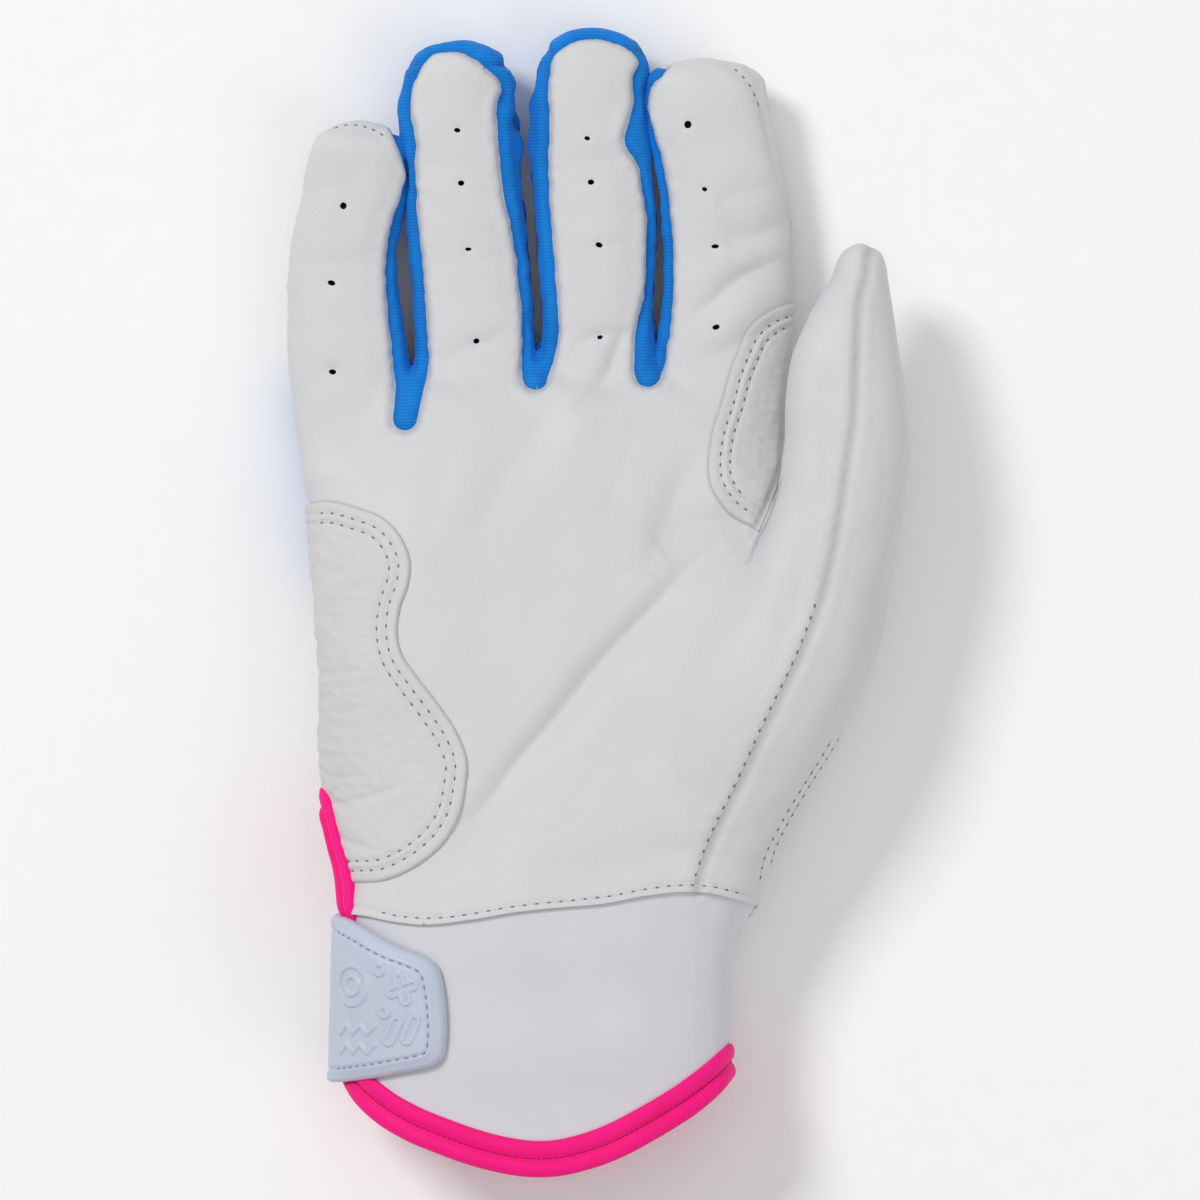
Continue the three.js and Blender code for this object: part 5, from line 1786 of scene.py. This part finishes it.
# The webbing's ribs along the strap and its weave across it: height and pitch
RIB, RIB_PITCH, WEAVE, WEAVE_PITCH = 0.1, 1.3, 0.06, 2.1
SEWN_DEPTH, SEWN_WIDTH, STRAP_EDGE_DROP = 0.4, 0.7, 0.5
on_back = turns > math.pi + 1
root_s = float(np.interp(-STRAP_ROOT_X, -ring[on_back][:, 0], lengths[on_back]))
strap_outline = np.array([
    (root_s, -66.8), (root_s, -100), (root_s + 1, -101), (6, -101), (6, -65.8), (root_s + 1, -65.8),
])
rows, tri = flat_grid((root_s - 0.5, -101.5), (-0.3, -65.3), 0.4)
rows, tri = clip(rows, tri, inside_distance(strap_outline, rows))
inside = np.maximum(inside_distance(strap_outline, rows), 0)
s, y = rows.T
ribs = RIB * np.sin(2 * math.pi * y / RIB_PITCH)
# the root is sewn down in a box with a cross in it
corners = [(root_s + u, v) for u, v in ((2, -68), (11, -68), (11, -99), (2, -99))]
BOX = list(zip(corners, corners[1:] + corners[:1]))
BOX += [(corners[0], corners[2]), (corners[1], corners[3])]
sewn = np.min([near_line(rows, a, b) for a, b in BOX], axis=0)
rounded = STRAP_EDGE_DROP * (1 - np.clip(inside / EDGE_ROUND, 0, 1)) ** 2
top = STRAP_OUT + ribs - rounded - SEWN_DEPTH * hump(sewn, SEWN_WIDTH)
past_box = smooth_step(root_s + 12, root_s + 16, s)
top += WEAVE * np.sin(2 * math.pi * s / WEAVE_PITCH) * past_box
strap = thick_sheet("wrist_strap", wrapped(s, y, top), wrapped(s, y, STRAP_LOW + 0 * s), tri)
print(strap.name, len(strap.data.polygons), "faces")


# %% Threads: many short round pieces in one object
END_THINNING = 0.45


def threads(name, lines, ups, radius, sides=6):
    """Each line is a row of points; ups is one direction, or one per point, square to it."""
    lines = np.array(lines, float)
    ups = np.broadcast_to(np.array(ups, float).reshape(len(lines), -1, 3), lines.shape)
    along = unit(np.gradient(lines, axis=1))
    across = unit(np.cross(along, ups))
    up = np.cross(across, along)
    m, n = lines.shape[:2]
    thin = np.ones(n)
    thin[0] = thin[-1] = END_THINNING
    angle = np.arange(sides) * 2 * math.pi / sides
    ring = np.cos(angle)[:, None] * across[:, :, None] + np.sin(angle)[:, None] * up[:, :, None]
    co = lines[:, :, None] + radius * thin[None, :, None, None] * ring
    index = np.arange(m * n * sides).reshape(m, n, sides)
    after = np.roll(index, -1, 2)
    quads = np.stack([index[:, :-1], after[:, :-1], after[:, 1:], index[:, 1:]], -1).reshape(-1, 4)
    faces = quads.tolist() + index[:, 0].tolist() + index[:, -1].tolist()
    made = edit(new_object(name, co.reshape(-1, 3), faces))
    shade(made, 60)
    print(name, m, "threads")
    return made


# %% Hook and loop under the tab
PAD_MIDDLE = (round_to(-43.4, TAB_LOW), -85.35)
HOOK_HALF, LOOP_HALF = (6.2, 4), (8.8, 6.5)
HOOK_PITCH, HOOK_ROW, HOOK_RADIUS = 0.8, 0.85, 0.09
LOOPS, LOOP_RADIUS, LOOP_SEED = 700, 0.06, 71
# How far in the loops keep from the pad's edge
LOOP_INSET = 0.6


def pad(name, half, corner, low, high):
    """A thin woven backing with round corners, bent round the cuff."""
    rows, tri = flat_grid((-half[0], -half[1]), half, 0.5)
    outside = np.maximum(np.abs(rows) - np.subtract(half, corner), 0)
    rows, tri = clip(rows, tri, corner - np.linalg.norm(outside, axis=1))
    rows = rows + PAD_MIDDLE
    s, y = rows.T
    weave = 0.04 * np.sin(2 * math.pi * s / 1.2) * np.sin(2 * math.pi * y / 1.2)
    return thick_sheet(name, wrapped(s, y, high + weave), wrapped(s, y, low + 0 * s), tri)


hook_base = pad("hook_pad_base", HOOK_HALF, 1.2, 1.15, TAB_LOW + 0.15)
loop_base = pad("loop_pad_base", LOOP_HALF, 1.5, 0.05, 0.5)
# a hook: across, along and out from the cuff's wall
BENT_HOOK = [(0, 0, 1.2), (0, 0, 0.86), (0.1, 0.04, 0.72), (0.26, 0.08, 0.7), (0.34, 0.1, 0.8)]
hooks = []
for i in range(-7, 8):
    for j in range(-4, 5):
        s0, y0 = PAD_MIDDLE[0] + i * HOOK_PITCH, PAD_MIDDLE[1] + j * HOOK_ROW
        lean = 1 if j % 2 else -1
        hooks.append([wrapped(s0 + lean * a, y0 + b, c) for a, b, c in BENT_HOOK])
hook_tips = threads("hook_pad_hooks", hooks, [(0, 1, 0)] * len(hooks), HOOK_RADIUS, 5)
# a loop: along its own direction as times its size, and out from the cuff's wall
LOOP = [(-0.6, 0.45), (-1, 0.62), (-0.5, 0.9), (0.5, 0.95), (1, 0.66), (0.6, 0.45)]
random = np.random.default_rng(LOOP_SEED)
loops, loop_ups = [], []
reach_s, reach_y = (half - LOOP_INSET for half in LOOP_HALF)
for _ in range(LOOPS):
    s0 = PAD_MIDDLE[0] + random.uniform(-reach_s, reach_s)
    y0 = PAD_MIDDLE[1] + random.uniform(-reach_y, reach_y)
    angle, size = random.uniform(0, math.pi), random.uniform(0.25, 0.45)
    da, db = size * math.cos(angle), size * math.sin(angle)
    loops.append([wrapped(s0 + k * da, y0 + k * db, h) for k, h in LOOP])
    loop_ups.append((-db, da, 0.3))
loop_pile = threads("loop_pad_pile", loops, loop_ups, LOOP_RADIUS, 4)
for made, material, node, slot, body in (
    (tab, tab_rubber, "strap_tab", "tab_rubber", "closure_tab"),
    (hook_base, nylon, "hook_pad", "hook_and_loop", "closure_tab"),
    (hook_tips, nylon, "hook_pad", "hook_and_loop", "closure_tab"),
    (loop_base, nylon, "loop_pad", "hook_and_loop", "glove"),
    (loop_pile, nylon, "loop_pad", "hook_and_loop", "glove"),
    (strap, strap_elastic, "strap", "elastic", "glove"),
):
    made.data.materials.append(material)
    shade(made, 40)
    finish_piece(made, node, body)

# %% [markdown]
# Stitches
#
# Each seam is sewn with a lock stitch: a short length of thread lies on the surface, dips into
# a needle hole and comes up again. In the photograph the holes show as small dark dashes and
# the thread between them is nearly as pale as the leather. So a row of stitches is two meshes:
# the thread lengths, and dark dashes flush with the surface where the needle went in. The grey
# dashes are painted shade.

# %% Places on the finished surfaces
UP = Vector((0, 0, 1))
# Where a ray towards the glove starts, above it and below it
RAY_TOP, RAY_FOOT = 0.2, -0.1
LAY_STEP, LAY_POINTS = 0.4, 200


def topmost(made, x, y, upward=True):
    """The outermost place of finished pieces over a point, looking along Z, and its normal."""
    best = None
    height, way = (RAY_TOP, -UP) if upward else (RAY_FOOT, UP)
    for one in made:
        hit, place, normal, _ = one.ray_cast(Vector((x * MM, y * MM, height)), way)
        if hit and (best is None or (place.z > best[0].z) == upward):
            best = (place, normal)
    return None if best is None else (np.array(best[0]) / MM, np.array(best[1]))


def laid(made, path, upward):
    """A path in XY dropped onto finished pieces, with its smoothed normals."""
    flat = np.c_[curve_through(path, LAY_POINTS), np.zeros(LAY_POINTS + 1)]
    found = [topmost(made, px, py, upward) for px, py, _ in evenly(flat, LAY_STEP)]
    found = [f for f in found if f is not None]
    places, normals = np.array([f[0] for f in found]), np.array([f[1] for f in found])
    return eased(places, 2), eased(normals, 4)


def laid_on_wall(s, y, out):
    """A path laid round the cuff at a distance out from its wall, with its normals."""
    line = wrapped(s, y, out)
    return line, unit(wrapped(s, y, out + 1) - line)


# Heights over the surface of a thread length and of a needle hole, from end to end
OVER = (-0.2, -0.08, -0.03, -0.02, -0.03, -0.08, -0.2)
UNDER = (-0.15, -0.05, -0.05, -0.05, -0.15)
# How far each runs on at either end, and how much wider a hole is than its thread
RUN_ON, HOLE_RUN_ON, HOLE_WIDER = 0.12, 0.05, 1.3


def row_of_stitches(name, made, path, pitch=2.6, gap=0.85, radius=0.17, hole=needle_hole_shade,
                    thread=grey_thread, upward=True, body="glove"):
    """Thread lengths and needle holes along a path. made is None for a path already laid."""
    places, normals = laid(made, path, upward) if made else path
    s = lengths_along(places)
    count = int(s[-1] / pitch)
    middles = (s[-1] - count * pitch) / 2 + pitch * (0.5 + np.arange(count))

    def short(at, half, heights):
        spots = at + np.linspace(-half, half, len(heights))
        normal = unit(read_path(spots, s, normals))
        return read_path(spots, s, places) + normal * np.array(heights)[:, None], normal

    for kind, spots, half, heights, thick, material in (
        ("_thread", middles, (pitch - gap) / 2 + RUN_ON, OVER, radius, thread),
        ("_holes", middles[:-1] + pitch / 2, gap / 2 + HOLE_RUN_ON, UNDER, radius * HOLE_WIDER, hole),
    ):
        lines, ups = zip(*[short(at, half, heights) for at in spots])
        one = threads(name + kind, lines, ups, thick)
        one.data.materials.append(material)
        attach(one, body)


# %% Stitches of the palm
INNER_STEPS = 160
SECOND_THUMB_SEAM = [
    (51.4, -26.5), (48.2, -32), (43.8, -39), (39.4, -46.6), (36.4, -53), (35, -60.5),
]
THIRD_THUMB_SEAM = [(px - 1.9, py - 0.9) for px, py in SECOND_THUMB_SEAM]
LITTLE_TIP = [
    (-57.8, 98.2), (-55.8, 99.4), (-53.2, 100), (-50.8, 99.9), (-48.3, 99.2), (-46, 98),
    (-43.9, 96.4),
]
INDEX_TIP = [(26.5, 113), (29.2, 111), (31.5, 108.2), (33, 105), (34.2, 101.5)]


def square_to(flat):
    """Directions square to a flat path."""
    ahead = unit(np.gradient(flat, axis=0))
    return stacked(ahead[:, 1], -ahead[:, 0])


def inner_edge(outline, inset, first, last):
    """The part of a patch's outline from one share of it to another, moved inwards."""
    smooth = curve_through(outline, INNER_STEPS)
    side = square_to(smooth)
    side *= np.sign(((smooth.mean(0) - smooth) * side).sum())
    moved = smooth + inset * side
    return moved[round(first * INNER_STEPS) : round(last * INNER_STEPS) + 1]


palm, thumb = pieces["palm_leather"], pieces["thumb_outer"]
seam_y, wrist_x = np.linspace(2, -60.5, 14), np.linspace(-48, 31, 12)
thumb_line = stacked(thumb_seam(seam_y) - 0.7, seam_y)
wrist_stitches = stacked(wrist_x, palm_wrist_line(wrist_x) + 0.2)
row_of_stitches("thumb_seam", [palm, thumb], thumb_line)
row_of_stitches("wrist_hem", [palm, thumb], wrist_stitches, pitch=2.55)
for k, inset in enumerate(ROWS_INSIDE):
    around_heel = inner_edge(HEEL_OUTLINE, inset, 0, 1)
    around_crotch = inner_edge(CROTCH_OUTLINE, inset, 0.04, 0.9 - 0.04 * k)
    row_of_stitches(f"heel_row_{k}", [heel], around_heel)
    row_of_stitches(f"crotch_row_{k}", [crotch], around_crotch, pitch=2.3)
row_of_stitches("second_thumb_seam", [thumb], SECOND_THUMB_SEAM, pitch=2.3)
row_of_stitches("third_thumb_seam", [thumb], THIRD_THUMB_SEAM, pitch=2.3)
row_of_stitches("little_tip", [palm], LITTLE_TIP, pitch=2.1)
row_of_stitches("index_tip", [palm], INDEX_TIP, pitch=2.2)

# %% Stitches of the back and of the strap's root
OFF_SEAM = 1.7
back_x = np.linspace(-54, 28, 14)
BACK_ROWS = {
    "back_lower": ("back_leather", wrist_line(back_x) + ELASTIC_WIDTH + OFF_SEAM, grey_thread),
    "back_upper": ("back_leather", back_line(back_x) - OFF_SEAM, grey_thread),
    "knuckles": ("knuckle_panel", knuckle_line(back_x) - OFF_SEAM, blue_thread),
    "elastic_hem": ("wrist_elastic", wrist_line(back_x) + 0.3, grey_thread),
}
for name, (node, row_y, thread) in BACK_ROWS.items():
    row_of_stitches(name, [pieces[node]], stacked(back_x, row_y), pitch=2.8, thread=thread,
                    upward=False)
for k, (a, b) in enumerate(BOX):
    on_strap = laid_on_wall(*np.linspace(a, b, 60).T, STRAP_OUT - SEWN_DEPTH + 0.05)
    row_of_stitches(f"strap_box_{k}", None, on_strap, radius=0.22)

# %% The bartack at the foot of the thumb's crease
# along the tack and up
TACK = [(-0.8, -0.4), (-0.5, 0.05), (0, 0.15), (0.5, 0.05), (0.8, -0.4)]
TACKS = 4
foot, _ = topmost([palm], 31.3, 8)
tacks = []
for k in range(TACKS):
    middle = foot + np.array([0.12, 0.36, 0]) * (k - (TACKS - 1) / 2)
    tacks.append([middle + np.array([u, -0.25 * u, h]) for u, h in TACK])
bartack = threads("bartack", tacks, [(0, 0, 1)] * TACKS, 0.17)
bartack.data.materials.append(grey_thread)
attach(bartack, "glove")

# %% Stitches of the bound edges and the tab
for name, grid in (("hem_tape", hem_grid), ("slit_tape", slit_grid)):
    line = grid[:, GROOVE_POINT]
    low, high = (grid[:, k] for k in BEAD_POINTS)
    normal = np.cross(np.gradient(line, axis=0), low - high)
    normal *= np.sign((normal * (line - grid[:, INNER_POINT])).sum(1))[:, None]
    row_of_stitches(name, None, (line, eased(unit(normal), 4)), pitch=2.4, gap=0.9,
                    hole=pink_thread, thread=pink_thread)

# the thread lies this far over the floor of the groove
OVER_FLOOR = 0.22
groove = np.array([p for p in free_edge if p[0] > 0.8])
groove = groove + BORDER * square_to(groove)
floor_out = TAB_OUT - GROOVE_DEPTH + OVER_FLOOR + tab_bend(*groove.T, BORDER)
row_of_stitches("tab_border", None, laid_on_wall(*groove.T, floor_out), pitch=2.0, gap=1.05,
                radius=0.18, hole=blue_thread, thread=tab_rubber, body="closure_tab")

# %% [markdown]
# Light and floor
#
# The glove lies as in a light tent: soft light from above and a little from the upper left,
# on a background that is almost white. White leather shows its folds only by shade, so the
# lamp at the upper left is the strongest and two weak ones fill the rest.

# %% Floor
FLOOR_SIZE = 6
FIBRE_SIZE = 5

deselect()
bpy.ops.mesh.primitive_grid_add(x_subdivisions=2, y_subdivisions=2, size=FLOOR_SIZE, location=(0, 0, 0))
floor = bpy.context.object
floor.name = "floor"
floor_paper, tree, shader, mm = new_material("matt_white_paper", 0.9)
fibre = add(tree, "ShaderNodeTexNoise", {"Vector": mm, "Scale": 1 / FIBRE_SIZE, "Detail": 2.0})
paper = add(tree, "ShaderNodeMix", {
    "Factor": fibre.outputs["Fac"], "A": linear("#FAFAFA"), "B": linear("#FDFDFD"),
}, data_type="RGBA")
tree.links.new(paper.outputs["Result"], shader.inputs["Base Color"])
floor.data.materials.append(floor_paper)

# %% Lamps and surroundings
def lamp(name, place, aim, size, power):
    deselect()
    bpy.ops.object.light_add(type="AREA", location=place)
    made = bpy.context.object
    made.name = name
    made.data.size = size
    made.data.energy = power
    made.rotation_mode = "QUATERNION"
    made.rotation_quaternion = (Vector(aim) - Vector(place)).to_track_quat("-Z", "Y")
    return made


lamp("key_lamp", (-1.5, 1.4, 2.3), (0, 0, 0), 0.8, 42)
lamp("top_lamp", (0.2, 0.1, 2.9), (0, 0, 0), 2.2, 12)
lamp("fill_lamp", (1.7, -1.2, 1.8), (0, 0, 0), 1.6, 12)
world = bpy.data.worlds.new("light_tent")
bpy.context.scene.world = world
world.use_nodes = True
background = world.node_tree.nodes["Background"]
background.inputs["Color"].default_value = linear("#FFFFFF")
background.inputs["Strength"].default_value = 0.4
bpy.context.scene.view_settings.view_transform = "Standard"
